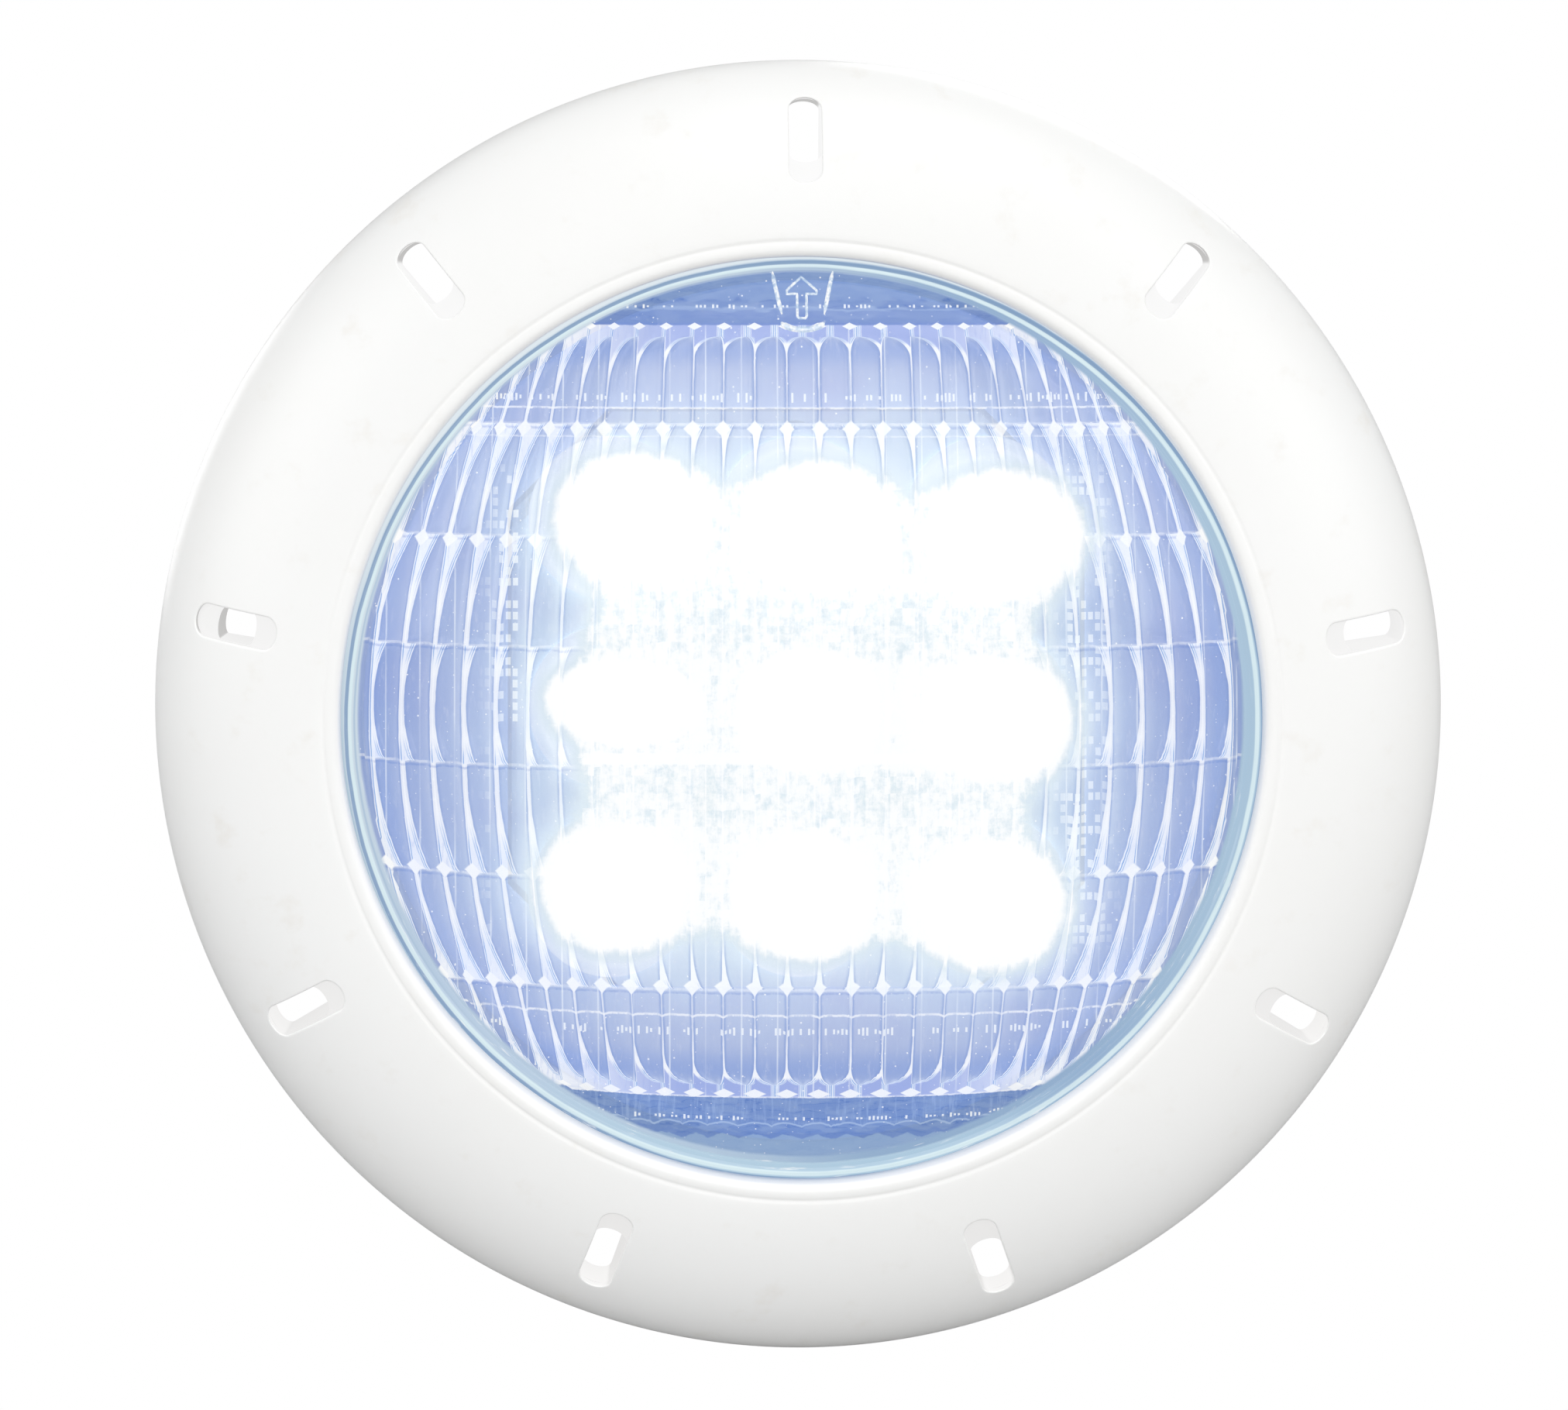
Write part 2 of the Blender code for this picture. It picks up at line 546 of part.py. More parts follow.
def driver_coil():
    bpy.ops.mesh.primitive_torus_add(major_segments=20, minor_segments=8,
                                     major_radius=COIL_R * MM, minor_radius=COIL_SECTION_R * MM)
    coil = bpy.context.object
    coil.name = "driver_coil"
    for owner in list(coil.users_collection):
        owner.objects.unlink(coil)
    finish(coil, "copper", lamp_axis)
    coil.location = [value * MM for value in COIL_PLACE]
    coil.data.shade_smooth()
    coil.data.set_sharp_from_angle(angle=math.radians(60))


def terminal_ports(shape):
    """Wire ports from below, each with a round hole from the rear."""
    for x in PORT_X:
        add_box(shape, x - PORT_HALF, x + PORT_HALF, -34.0, -26.0, -45.0, -39.5)
        add_cylinder(shape, 2.2, -50.0, -45.5, x, -26.5)


driver = solid("driver_board", boxes(DRIVER_BOX), "board_green")
cut(driver, solid("driver_cut", cylinders(1.6, -40.0, -30.0, POSTS)))
driver_coil()
for number, place in enumerate(CAPACITOR_PLACES, 1):
    turned(f"capacitor_{number}", CAPACITOR_PROFILE, "capacitor", steps=16, at=place)
terminal = solid("terminal_block", boxes(TERMINAL_BOX), "connector")
cut(terminal, solid("terminal_ports", terminal_ports))

# ---- 13 LED leads, from the driver through the lead hole to the board ----
LEAD_R = 0.9
# Bezier control points of the right-hand lead behind and in front of the lead hole: (x, y, z)
LEAD_REAR = [(2.0, 34.0, -30.0), (2.0, 50.0, -30.0),
             (2.0, LEAD_HOLE[1], -26.0), (2.0, LEAD_HOLE[1], -12.0)]
LEAD_FRONT = [(2.0, LEAD_HOLE[1], -4.0), (2.0, LEAD_HOLE[1], 2.0),
              (3.0, 52.5, 3.6), (4.5, 47.5, 2.3)]


def bezier(controls, count):
    """Points at count + 1 even steps along a cubic Bezier curve."""
    points = []
    for i in range(count + 1):
        t = i / count
        weights = ((1 - t) ** 3, 3 * (1 - t) ** 2 * t, 3 * (1 - t) * t * t, t ** 3)
        points.append(tuple(sum(weight * value for weight, value in zip(weights, values))
                            for values in zip(*controls)))
    return points


def wire(name, points, radius, material, resolution):
    curve = bpy.data.curves.new(name, "CURVE")
    curve.dimensions = "3D"
    curve.bevel_depth = radius * MM
    curve.bevel_resolution = resolution
    curve.use_fill_caps = True
    spline = curve.splines.new("POLY")
    spline.points.add(len(points) - 1)
    for knot, (x, y, z) in zip(spline.points, points):
        knot.co = (x * MM, y * MM, z * MM, 1.0)
    finish(bpy.data.objects.new(name, curve), material, lamp_axis)


for colour, side in (("red", 1), ("black", -1)):
    path = [(side * x, y, z) for x, y, z in bezier(LEAD_REAR, 8) + bezier(LEAD_FRONT, 6)]
    wire(f"led_lead_{colour}", path, LEAD_R, f"lead_{colour}", resolution=1)

# ---- 14 cable gland on the rear wall -------------------------------------
GLAND_BODY_Z = (-67.0, -DEPTH - GAP)
# name, radius, rear z, front z, facets, front radius where it tapers, material of a real piece
GLAND_CYLINDERS = [
    ("gland_body", 13.0, *GLAND_BODY_Z, 6, None, "nylon_black"),
    ("gland_thread_in", 8.0, -61.0, -47.5, 24, None, None),
    ("gland_thread_out", 9.0, -75.0, -66.0, 24, None, None),
    ("gland_bore", 4.6, -80.0, -40.0, 20, None, None),
    ("gland_seat", 6.8, -80.1, -68.0, 20, None, None),
    ("gland_nut", 13.0, -79.0, GLAND_BODY_Z[0] - GAP, 6, None, "nylon_black"),
    ("gland_dome", 8.0, -84.0, -78.0, 24, 10.8, None),
    ("gland_nut_bore", 9.35, -76.6, -60.0, 24, None, None),
    ("gland_nut_exit", 4.7, -90.0, -60.1, 20, None, None),
    ("gland_lock_nut", 11.5, HOUSING_FLOOR_Z + GAP, -51.2, 6, None, "nylon_black"),
    ("lock_bore", 8.35, -60.0, -45.0, 24, None, None),
]
SEAL_PROFILE = [(4.5, -68.3), (6.4, -68.3), (6.4, -75.4), (5.4, -76.1), (4.5, -76.1)]
O_RING_PROFILE = [(8.5, -58.8), (11.0, -58.8), (11.4, -59.4), (11.0, -DEPTH), (8.5, -DEPTH)]

gland = {}
for name, radius, z0, z1, facets, front_radius, material in GLAND_CYLINDERS:
    build = cylinders(radius, z0, z1, [(0.0, GLAND_Y)], facets, front_radius)
    gland[name] = solid(name, build, material)

unite(gland["gland_body"], gland["gland_thread_in"], gland["gland_thread_out"])
cut(gland["gland_body"], gland["gland_bore"], gland["gland_seat"])
unite(gland["gland_nut"], gland["gland_dome"])
cut(gland["gland_nut"], gland["gland_nut_bore"], gland["gland_nut_exit"])
cut(gland["gland_lock_nut"], gland["lock_bore"])
turned("gland_seal", SEAL_PROFILE, "silicone", closed=True, steps=20, at=(0.0, GLAND_Y))
turned("gland_o_ring", O_RING_PROFILE, "silicone", closed=True, steps=24, at=(0.0, GLAND_Y))

# ---- 15 cable with two cores showing at its cut end ----------------------
CABLE_R = 4.0
CABLE_STRAIGHT_Z = (-46.0, -60.0, -74.0, -82.0)
# Bezier control points of the hanging tail: (x, y, z)
CABLE_TAIL = [(0.0, GLAND_Y, -88.0), (0.0, GLAND_Y - 2.0, -116.0),
              (6.0, GLAND_Y - 40.0, -122.0), (24.0, GLAND_Y - 66.0, -100.0)]
CORE_R = 1.25
CORE_LENGTH = 17.0
CORE_ROOT_OFFSET, CORE_TIP_OFFSET = 1.75, 4.2    # core centre to cable centre
CORE_HANDLE = 6.0                                # Bezier handle length

cable_points = [(0.0, GLAND_Y, z) for z in CABLE_STRAIGHT_Z] + bezier(CABLE_TAIL, 16)
wire("supply_cable", cable_points, CABLE_R, "cable_jacket", resolution=2)

cable_end = Vector(cable_points[-1])
along = (cable_end - Vector(cable_points[-2])).normalized()
sideways = along.cross(Vector((0.0, 0.0, 1.0))).normalized()
for name, side in (("core_brown", 1), ("core_blue", -1)):
    root = cable_end + along * GAP + sideways * side * CORE_ROOT_OFFSET
    tip = cable_end + along * CORE_LENGTH + sideways * side * CORE_TIP_OFFSET
    controls = (root, root + along * CORE_HANDLE, tip - along * CORE_HANDLE, tip)
    wire(name, bezier(controls, 6), CORE_R, name, resolution=1)

bpy.context.view_layer.update()
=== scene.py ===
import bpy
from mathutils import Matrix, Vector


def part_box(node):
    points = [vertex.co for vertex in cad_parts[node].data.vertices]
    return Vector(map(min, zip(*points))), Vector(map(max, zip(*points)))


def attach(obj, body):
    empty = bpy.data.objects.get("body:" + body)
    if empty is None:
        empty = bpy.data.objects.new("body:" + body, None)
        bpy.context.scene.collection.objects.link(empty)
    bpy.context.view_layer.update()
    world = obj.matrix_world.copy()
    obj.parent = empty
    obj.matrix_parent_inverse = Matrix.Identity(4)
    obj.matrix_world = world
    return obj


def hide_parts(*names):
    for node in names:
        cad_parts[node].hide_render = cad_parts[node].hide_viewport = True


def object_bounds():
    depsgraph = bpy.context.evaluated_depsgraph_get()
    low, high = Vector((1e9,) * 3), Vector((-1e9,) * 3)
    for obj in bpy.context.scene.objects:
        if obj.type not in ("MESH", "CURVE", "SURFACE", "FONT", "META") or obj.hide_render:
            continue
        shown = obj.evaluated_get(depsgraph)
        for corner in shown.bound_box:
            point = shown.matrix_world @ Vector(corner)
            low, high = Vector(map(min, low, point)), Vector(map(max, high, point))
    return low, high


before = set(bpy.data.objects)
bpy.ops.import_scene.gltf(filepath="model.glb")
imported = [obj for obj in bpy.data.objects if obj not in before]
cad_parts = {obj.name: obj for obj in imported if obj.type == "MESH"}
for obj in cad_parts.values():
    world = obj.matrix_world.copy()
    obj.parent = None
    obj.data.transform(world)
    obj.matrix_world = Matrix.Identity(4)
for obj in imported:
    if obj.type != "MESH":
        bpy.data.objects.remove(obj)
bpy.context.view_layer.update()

import math

import bmesh
import bpy
import numpy as np
from mathutils import Matrix, Vector

# ---------------------------------------------------------------------------
# Local light frame: +z towards the swimmer, +y up, z = 0 the wall plane, in mm.
# ---------------------------------------------------------------------------
WALL_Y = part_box("face_ring")[1].y          # world y of the ring's back edge
MM = 0.001


def W(x, y, z):
    return (x * MM, WALL_Y - z * MM, y * MM)


def to_world(pts):
    pts = np.asarray(pts, float)
    return np.stack([pts[:, 0] * MM, WALL_Y - pts[:, 2] * MM, pts[:, 1] * MM], axis=1)


scene = bpy.context.scene


def link(o):
    scene.collection.objects.link(o)
    return o


def smoothstep(a, b, x):
    t = np.clip((np.asarray(x, float) - a) / (b - a), 0, 1)
    return t * t * (3 - 2 * t)


def mesh_object(name, verts, faces, smooth=True, sharp=None):
    """Mesh from local mm points; faces is a list of index tuples."""
    me = bpy.data.meshes.new(name)
    me.from_pydata(to_world(verts).tolist(), [], [tuple(int(i) for i in f) for f in faces])
    me.validate()
    me.update()
    o = link(bpy.data.objects.new(name, me))
    if smooth:
        me.shade_smooth()
        if sharp:
            me.set_sharp_from_angle(angle=math.radians(sharp))
    return o


def fix_normals(o):
    bm = bmesh.new()
    bm.from_mesh(o.data)
    bmesh.ops.recalc_face_normals(bm, faces=bm.faces)
    bm.to_mesh(o.data)
    bm.free()


# ---------------------------------------------------------------------------
# Node helpers
# ---------------------------------------------------------------------------
class Tree:
    def __init__(self, name):
        self.m = bpy.data.materials.new(name)
        self.m.use_nodes = True
        self.t = self.m.node_tree
        self.n = self.t.nodes
        self.l = self.t.links
        self.n.clear()
        self.out = self.n.new("ShaderNodeOutputMaterial")

    def node(self, kind, **sets):
        x = self.n.new(kind)
        for k, v in sets.items():
            setattr(x, k, v)
        return x

    def put(self, socket, value):
        if isinstance(value, bpy.types.NodeSocket):
            self.l.new(value, socket)
        elif value is not None:
            try:
                socket.default_value = value
            except (TypeError, ValueError):
                socket.default_value = (*value, 1.0)

    def math(self, op, a, b=None, c=None, clamp=False):
        x = self.node("ShaderNodeMath", operation=op, use_clamp=clamp)
        self.put(x.inputs[0], a)
        if b is not None:
            self.put(x.inputs[1], b)
        if c is not None:
            self.put(x.inputs[2], c)
        return x.outputs[0]

    def vmath(self, op, a, b=None, scale=None):
        x = self.node("ShaderNodeVectorMath", operation=op)
        self.put(x.inputs[0], a)
        if b is not None:
            self.put(x.inputs[1], b)
        if scale is not None:
            self.put(x.inputs["Scale"], scale)
        return x.outputs["Value"] if op in ("LENGTH", "DOT_PRODUCT", "DISTANCE") else x.outputs["Vector"]

    def step(self, lo, hi, x, smooth=True):
        r = self.node("ShaderNodeMapRange", interpolation_type="SMOOTHSTEP" if smooth else "LINEAR", clamp=True)
        self.put(r.inputs["Value"], x)
        self.put(r.inputs["From Min"], lo)
        self.put(r.inputs["From Max"], hi)
        return r.outputs["Result"]

    def mix(self, fac, a, b, blend="MIX"):
        x = self.node("ShaderNodeMix", data_type="RGBA", blend_type=blend)
        x.clamp_factor = True
        self.put(x.inputs[0], fac)
        self.put(x.inputs[6], a)
        self.put(x.inputs[7], b)
        return x.outputs[2]

    def noise(self, vec, scale, detail=2.0, rough=0.5, dist=0.0, out="Fac"):
        x = self.node("ShaderNodeTexNoise")
        self.put(x.inputs["Vector"], vec)
        self.put(x.inputs["Scale"], scale)
        self.put(x.inputs["Detail"], detail)
        self.put(x.inputs["Roughness"], rough)
        self.put(x.inputs["Distortion"], dist)
        return x.outputs[out]

    def ramp(self, fac, stops, mode="LINEAR"):
        x = self.node("ShaderNodeValToRGB")
        x.color_ramp.interpolation = mode
        e = x.color_ramp.elements
        while len(e) > 1:
            e.remove(e[-1])
        e[0].position, e[0].color = stops[0][0], (*stops[0][1], 1)
        for p, c in stops[1:]:
            k = e.new(p)
            k.color = (*c, 1)
        self.put(x.inputs[0], fac)
        return x.outputs[0]

    def position(self):
        """World position in mm, in the light's local axes (x right, y up, z towards the swimmer)."""
        tc = self.node("ShaderNodeTexCoord")
        s = self.node("ShaderNodeSeparateXYZ")
        self.put(s.inputs[0], tc.outputs["Object"])
        x = self.math("MULTIPLY", s.outputs[0], 1000.0)
        y = self.math("MULTIPLY", s.outputs[2], 1000.0)
        z = self.math("MULTIPLY_ADD", s.outputs[1], -1000.0, WALL_Y * 1000.0)
        c = self.node("ShaderNodeCombineXYZ")
        self.put(c.inputs[0], x)
        self.put(c.inputs[1], y)
        self.put(c.inputs[2], z)
        return c.outputs[0], x, y, z

    def bump(self, height, dist, strength=1.0, normal=None):
        x = self.node("ShaderNodeBump")
        self.put(x.inputs["Height"], height)
        self.put(x.inputs["Distance"], dist)
        self.put(x.inputs["Strength"], strength)
        if normal is not None:
            self.put(x.inputs["Normal"], normal)
        return x.outputs[0]

    def principled(self, **kw):
        x = self.node("ShaderNodeBsdfPrincipled")
        for k, v in kw.items():
            self.put(x.inputs[k], v)
        return x

    def done(self, shader):
        self.l.new(shader, self.out.inputs["Surface"])
        return self.m


def srgb(r, g, b):
    def f(c):
        c = c / 255.0
        return c / 12.92 if c <= 0.04045 else ((c + 0.055) / 1.055) ** 2.4
    return (f(r), f(g), f(b))


# ---------------------------------------------------------------------------
# 1  Face ring: one closed quad mesh, polar grid with a fitted patch per slot
# ---------------------------------------------------------------------------
R_OUT, SKIRT, H_RING, R_FLAT, R_OPEN, WALL = 138.0, 6.0, 27.0, 97.0, 95.2, 2.8
SLOTS, PER = 9, 56                     # slots, angular divisions per slot sector
N_TH = SLOTS * PER
HALF_B = 8                             # the patch spans this many divisions each side
ROWS_B = 20                            # radial divisions of the patch
POCKET = (109.9, 128.0, 3.42)
FLOOR_DROP, SLEEVE_Z = 1.5, 12.6       # the pocket floor follows the dome
HOLE = (114.15, 127.85, 3.34, 0.55)
HOLE_LEFT = (114.15, 123.0, 3.34, 0.35)
LEFT_SLOT = 2
# how far each slot stands outward and counter-clockwise of an even 40 degree pitch, mm, as the photo shows them
SLOT_SHIFT = ((0.6, -0.8), (-0.4, 0.7), (-0.4, 1.9), (-0.1, 0.9), (-1.7, -0.4), (-1.0, -1.7), (-0.1, -2.8), (-1.0, -3.1),
              (0.3, -1.6))
LUG_SLOTS = (2, 5, 8)
SLEEVE = (108.5, 129.8, 5.4)


def dome_z(r, off=0.0):
    u = np.clip((np.asarray(r, float) - R_FLAT) / (R_OUT - R_FLAT - off), 0, 1)
    return SKIRT + (H_RING - SKIRT - off) * np.sqrt(np.clip(1 - u * u, 0, 1))


def slot_theta(k):
    return math.radians(90.0 + 360.0 / SLOTS * k)


def slot_turn(k):
    return slot_theta(k) + SLOT_SHIFT[k][1] / 121.0


def slot_shapes(k):
    """The pocket and the opening of slot k, in its own radial frame."""
    out = SLOT_SHIFT[k][0]
    hole = HOLE_LEFT if k == LEFT_SLOT else HOLE
    start = hole[0] + out
    if k in LUG_SLOTS:
        start = max(start, 114.13)         # a bayonet lug stands just inside it
    return (POCKET[0] + out, POCKET[1] + out, POCKET[2]), (start, hole[1] + out, *hole[2:])


def outline(a, b, r_in, r_out, h, flat=0.75, ref=None):
    """Point of a flattened stadium's outline that belongs to the patch edge point (a, b).
    ref is the stadium that decides which part of the outline the point falls on."""
    ri, ro, hh, ff = ref if ref is not None else (r_in, r_out, h, flat)
    c0, c1 = ri + ff * hh, ro - ff * hh
    d0, d1 = r_in + flat * h, r_out - flat * h
    if a < c0:
        t = math.atan2(b, (c0 - a))
        return d0 - flat * h * math.cos(t), h * math.sin(t)
    if a > c1:
        t = math.atan2(b, (a - c1))
        return d1 + flat * h * math.cos(t), h * math.sin(t)
    s = (a - c0) / (c1 - c0)
    return d0 + (d1 - d0) * s, math.copysign(h, b)


def lip_z(a, b, r):
    """Outer surface of the ring near a slot."""
    return dome_z(r)


def floor_z(a, b):
    return float(dome_z(math.hypot(a, b))) - FLOOR_DROP


verts, faces = [], []


def add(points):
    s = len(verts)
    verts.extend(points)
    return list(range(s, s + len(points)))


def ring_points(r, z):
    return [(r * math.cos(2 * math.pi * i / N_TH + slot_theta(0)), r * math.sin(2 * math.pi * i / N_TH + slot_theta(0)), z)
            for i in range(N_TH)]


def strip(a, b, skip=None):
    for i in range(len(a)):
        j = (i + 1) % len(a)
        if skip and skip(i):
            continue
        faces.append((a[i], a[j], b[j], b[i]))


def in_block(i):
    """True for a grid cell i..i+1 inside a slot's patch."""
    m = i % PER
    return m < HALF_B or m >= PER - HALF_B


def surface(r0, r1, stations_before, stations_after, zf, down):
    """Rows of the polar grid; between r0 and r1 the slot patches are left open. Returns rows and patch borders."""
    rows = [(r, z) for r, z in stations_before]
    first = len(rows)
    rs = [r0 + (r1 - r0) * j / ROWS_B for j in range(ROWS_B + 1)]
    rows += [(r, float(zf(r))) for r in rs]
    last = len(rows) - 1
    rows += [(r, z) for r, z in stations_after]
    idx = [add(ring_points(r, z)) for r, z in rows]
    for j in range(len(rows) - 1):
        hole = first <= j < last
        if down:
            strip(idx[j], idx[j + 1], in_block if hole else None)
        else:
            strip(idx[j + 1], idx[j], in_block if hole else None)
    return idx, first, last


outer_dome_t = [t for t in np.linspace(1, 0, 13)]
pre_outer = [(95.2, 25.7), (95.32, 26.25), (95.65, 26.68), (96.1, 26.92), (96.6, 27.0), (97.7, 27.0), (97.95, 26.9),
             (98.2, 26.82), (98.5, 26.84), (98.8, 26.93), (99.2, float(dome_z(99.2))), (100.5, float(dome_z(100.5))),
             (102.0, float(dome_z(102.0))), (103.5, float(dome_z(103.5)))]
B0, B1 = 105.0, 134.2
angs = np.linspace(math.acos((B1 - R_FLAT) / (R_OUT - R_FLAT)), 0.0, 11)[1:]
post_outer = [(R_FLAT + (R_OUT - R_FLAT) * math.cos(t), SKIRT + (H_RING - SKIRT) * math.sin(t)) for t in angs]
post_outer += [(138.0, 4.0), (138.0, 2.0), (138.0, 0.9), (137.75, 0.3), (137.2, 0.0), (135.8, 0.0), (135.3, 0.25), (135.2, 0.8), (135.2, 3.0)]
outer_idx, o_first, o_last = surface(B0, B1, pre_outer, post_outer, dome_z, True)

I0, I1 = 105.0, 133.0
angs = np.linspace(0.0, math.acos((I1 - R_FLAT) / (R_OUT - R_FLAT - WALL)), 9)
pre_inner = [(R_FLAT + (R_OUT - R_FLAT - WALL) * math.cos(t), SKIRT + (H_RING - SKIRT - WALL) * math.sin(t)) for t in angs][:-1]
# the inner surface is listed from the inside out, like the outer one
inner_after = list(reversed(pre_inner))
inner_before = [(95.2, 24.4), (95.2, 23.4), (95.4, 23.2), (97.0, 23.2), (97.0, 24.2), (99.0, float(dome_z(99.0, WALL))),
                (102.0, float(dome_z(102.0, WALL)))]
inner_idx, i_first, i_last = surface(I0, I1, inner_before, inner_after, lambda r: dome_z(r, WALL), False)
for i in range(N_TH):                      # opening wall and the joint inside the skirt
    j = (i + 1) % N_TH
    faces.append((inner_idx[0][i], inner_idx[0][j], outer_idx[0][j], outer_idx[0][i]))
    faces.append((outer_idx[-1][i], outer_idx[-1][j], inner_idx[-1][j], inner_idx[-1][i]))


def border(idx, first, last, k):
    """Vertex indices round slot k's patch, starting at the inner edge's low-angle corner."""
    c = (k * PER) % N_TH
    lo, hi = c - HALF_B, c + HALF_B
    out = [idx[first][i % N_TH] for i in range(lo, hi)]
    out += [idx[j][hi % N_TH] for j in range(first, last)]
    out += [idx[last][i % N_TH] for i in range(hi, lo, -1)]
    out += [idx[j][lo % N_TH] for j in range(last, first, -1)]
    return out


for k in range(SLOTS):
    th = slot_turn(k)
    ct, st = math.cos(th), math.sin(th)
    pocket, hole = slot_shapes(k)
    sleeve_z = 14.3 if k in LUG_SLOTS else SLEEVE_Z      # clear of the housing's bayonet tabs

    def local(p):
        return p[0] * ct + p[1] * st, -p[0] * st + p[1] * ct

    def world2(a, b, z):
        return (a * ct - b * st, a * st + b * ct, z)

    bo = border(outer_idx, o_first, o_last, k)
    bi = border(inner_idx, i_first, i_last, k)
    n = len(bo)
    loc = [local(verts[v]) for v in bo]
    ol = [outline(a, b, *pocket) for a, b in loc]
    hl = [outline(a, b, *hole, ref=(*pocket, 0.75)) for a, b in loc]
    prev = bo
    gaps = [math.hypot(a - oa, b - ob) for (a, b), (oa, ob) in zip(loc, ol)]

    def loop_at(dist):
        pts = []
        for (a, b), (oa, ob), g in zip(loc, ol, gaps):
            f = min(dist / g, 0.45 * dist / 2.1)
            pa, pb = oa + (a - oa) * f, ob + (b - ob) * f
            r = math.hypot(pa, pb)
            pts.append((pa, pb, float(lip_z(pa, pb, r))))
        return pts

    rings = []
    for f in (0.82, 0.64, 0.48):
        rings.append([(oa + (a - oa) * f, ob + (b - ob) * f) for (a, b), (oa, ob) in zip(loc, ol)])
    loops = []
    for rr in rings:
        loops.append([(pa, pb, float(lip_z(pa, pb, math.hypot(pa, pb)))) for pa, pb in rr])
    for d in (2.1, 1.5, 1.0, 0.6, 0.36):
        loops.append(loop_at(d))
    for d, drop in ((0.2, 0.03), (0.1, 0.10), (0.03, 0.2), (0.0, 0.36)):
        loops.append([(pa, pb, z - drop) for pa, pb, z in loop_at(d)])
    for lift, inset in ((0.30, 0.0), (0.1, 0.06), (0.0, 0.2)):
        lp = []
        for (oa, ob), (ha, hb) in zip(ol, hl):
            k2 = min(1, inset / 4)
            pa, pb = oa + (ha - oa) * k2, ob + (hb - ob) * k2
            lp.append((pa, pb, floor_z(pa, pb) + lift))
        loops.append(lp)
    for f in (0.35, 0.7):
        lp = []
        for (oa, ob), (ha, hb) in zip(ol, hl):
            pa, pb = oa + (ha - oa) * f, ob + (hb - ob) * f
            lp.append((pa, pb, floor_z(pa, pb)))
        loops.append(lp)
    for drop, down_to in ((0.0, None), (0.05, None), (0.15, None), (2.0, None), (0.0, 2.0), (0.0, 0.2), (0.0, 0.0)):
        lp = []
        for ha, hb in hl:
            lp.append((ha, hb, floor_z(ha, hb) - drop if down_to is None else sleeve_z + down_to))
        loops.append(lp)
    # under the ring: the sleeve round the slot
    loci = [local(verts[v]) for v in bi]
    sl = [outline(a, b, SLEEVE[0], SLEEVE[1], SLEEVE[2], ref=None) for a, b in loci]
    loops.append([(ha + (sa - ha) * 0.5, hb + (sb - hb) * 0.5, sleeve_z) for (ha, hb), (sa, sb) in zip(hl, sl)])
    loops.append([(ha + (sa - ha) * 0.92, hb + (sb - hb) * 0.92, sleeve_z) for (ha, hb), (sa, sb) in zip(hl, sl)])

    def under(a, b, lift):
        return float(dome_z(math.hypot(a, b), WALL)) + lift

    loops.append([(sa, sb, min(sleeve_z + 0.25, under(sa, sb, -0.3))) for sa, sb in sl])
    loops.append([(sa, sb, under(sa, sb, -0.25)) for sa, sb in sl])
    g2 = [math.hypot(a - oa, b - ob) for (a, b), (oa, ob) in zip(loci, sl)]
    for d in (0.3, 0.9):
        lp = []
        for (a, b), (oa, ob), g in zip(loci, sl, g2):
            f = d / g
            pa, pb = oa + (a - oa) * f, ob + (b - ob) * f
            lp.append((pa, pb, under(pa, pb, -0.03 if d < 0.5 else 0.0)))
        loops.append(lp)
    for f in (0.4, 0.7):
        lp = []
        for (a, b), (oa, ob) in zip(loci, sl):
            pa, pb = oa + (a - oa) * f, ob + (b - ob) * f
            lp.append((pa, pb, under(pa, pb, 0.0)))
        loops.append(lp)
    for lp in loops:
        cur = add([world2(*p) for p in lp])
        for i in range(n):
            j = (i + 1) % n
            faces.append((prev[i], prev[j], cur[j], cur[i]))
        prev = cur
    for i in range(n):
        j = (i + 1) % n
        faces.append((prev[i], prev[j], bi[j], bi[i]))

ring = mesh_object("ring_moulding", verts, faces, sharp=42)
inside = np.zeros(len(verts), np.float32)          # 1 on the walls and the floor of a slot
pts = np.array(verts, float)
rr_all = np.hypot(pts[:, 0], pts[:, 1])
for k in range(SLOTS):
    th = slot_turn(k)
    pocket, hole = slot_shapes(k)
    pa = pts[:, 0] * math.cos(th) + pts[:, 1] * math.sin(th)
    pb = -pts[:, 0] * math.sin(th) + pts[:, 1] * math.cos(th)
    inside[(np.abs(pb) < pocket[2] + 0.02) & (pa > pocket[0] - 0.02) & (pa < pocket[1] + 0.02)
           & (pts[:, 2] < dome_z(rr_all) - 0.3)] = 1.0
assert len(ring.data.vertices) == len(verts)
ring.data.attributes.new("slot_inside", "FLOAT", "POINT").data.foreach_set("value", inside)
fix_normals(ring)
ring.data.shade_smooth()
ring.data.set_sharp_from_angle(angle=math.radians(42))


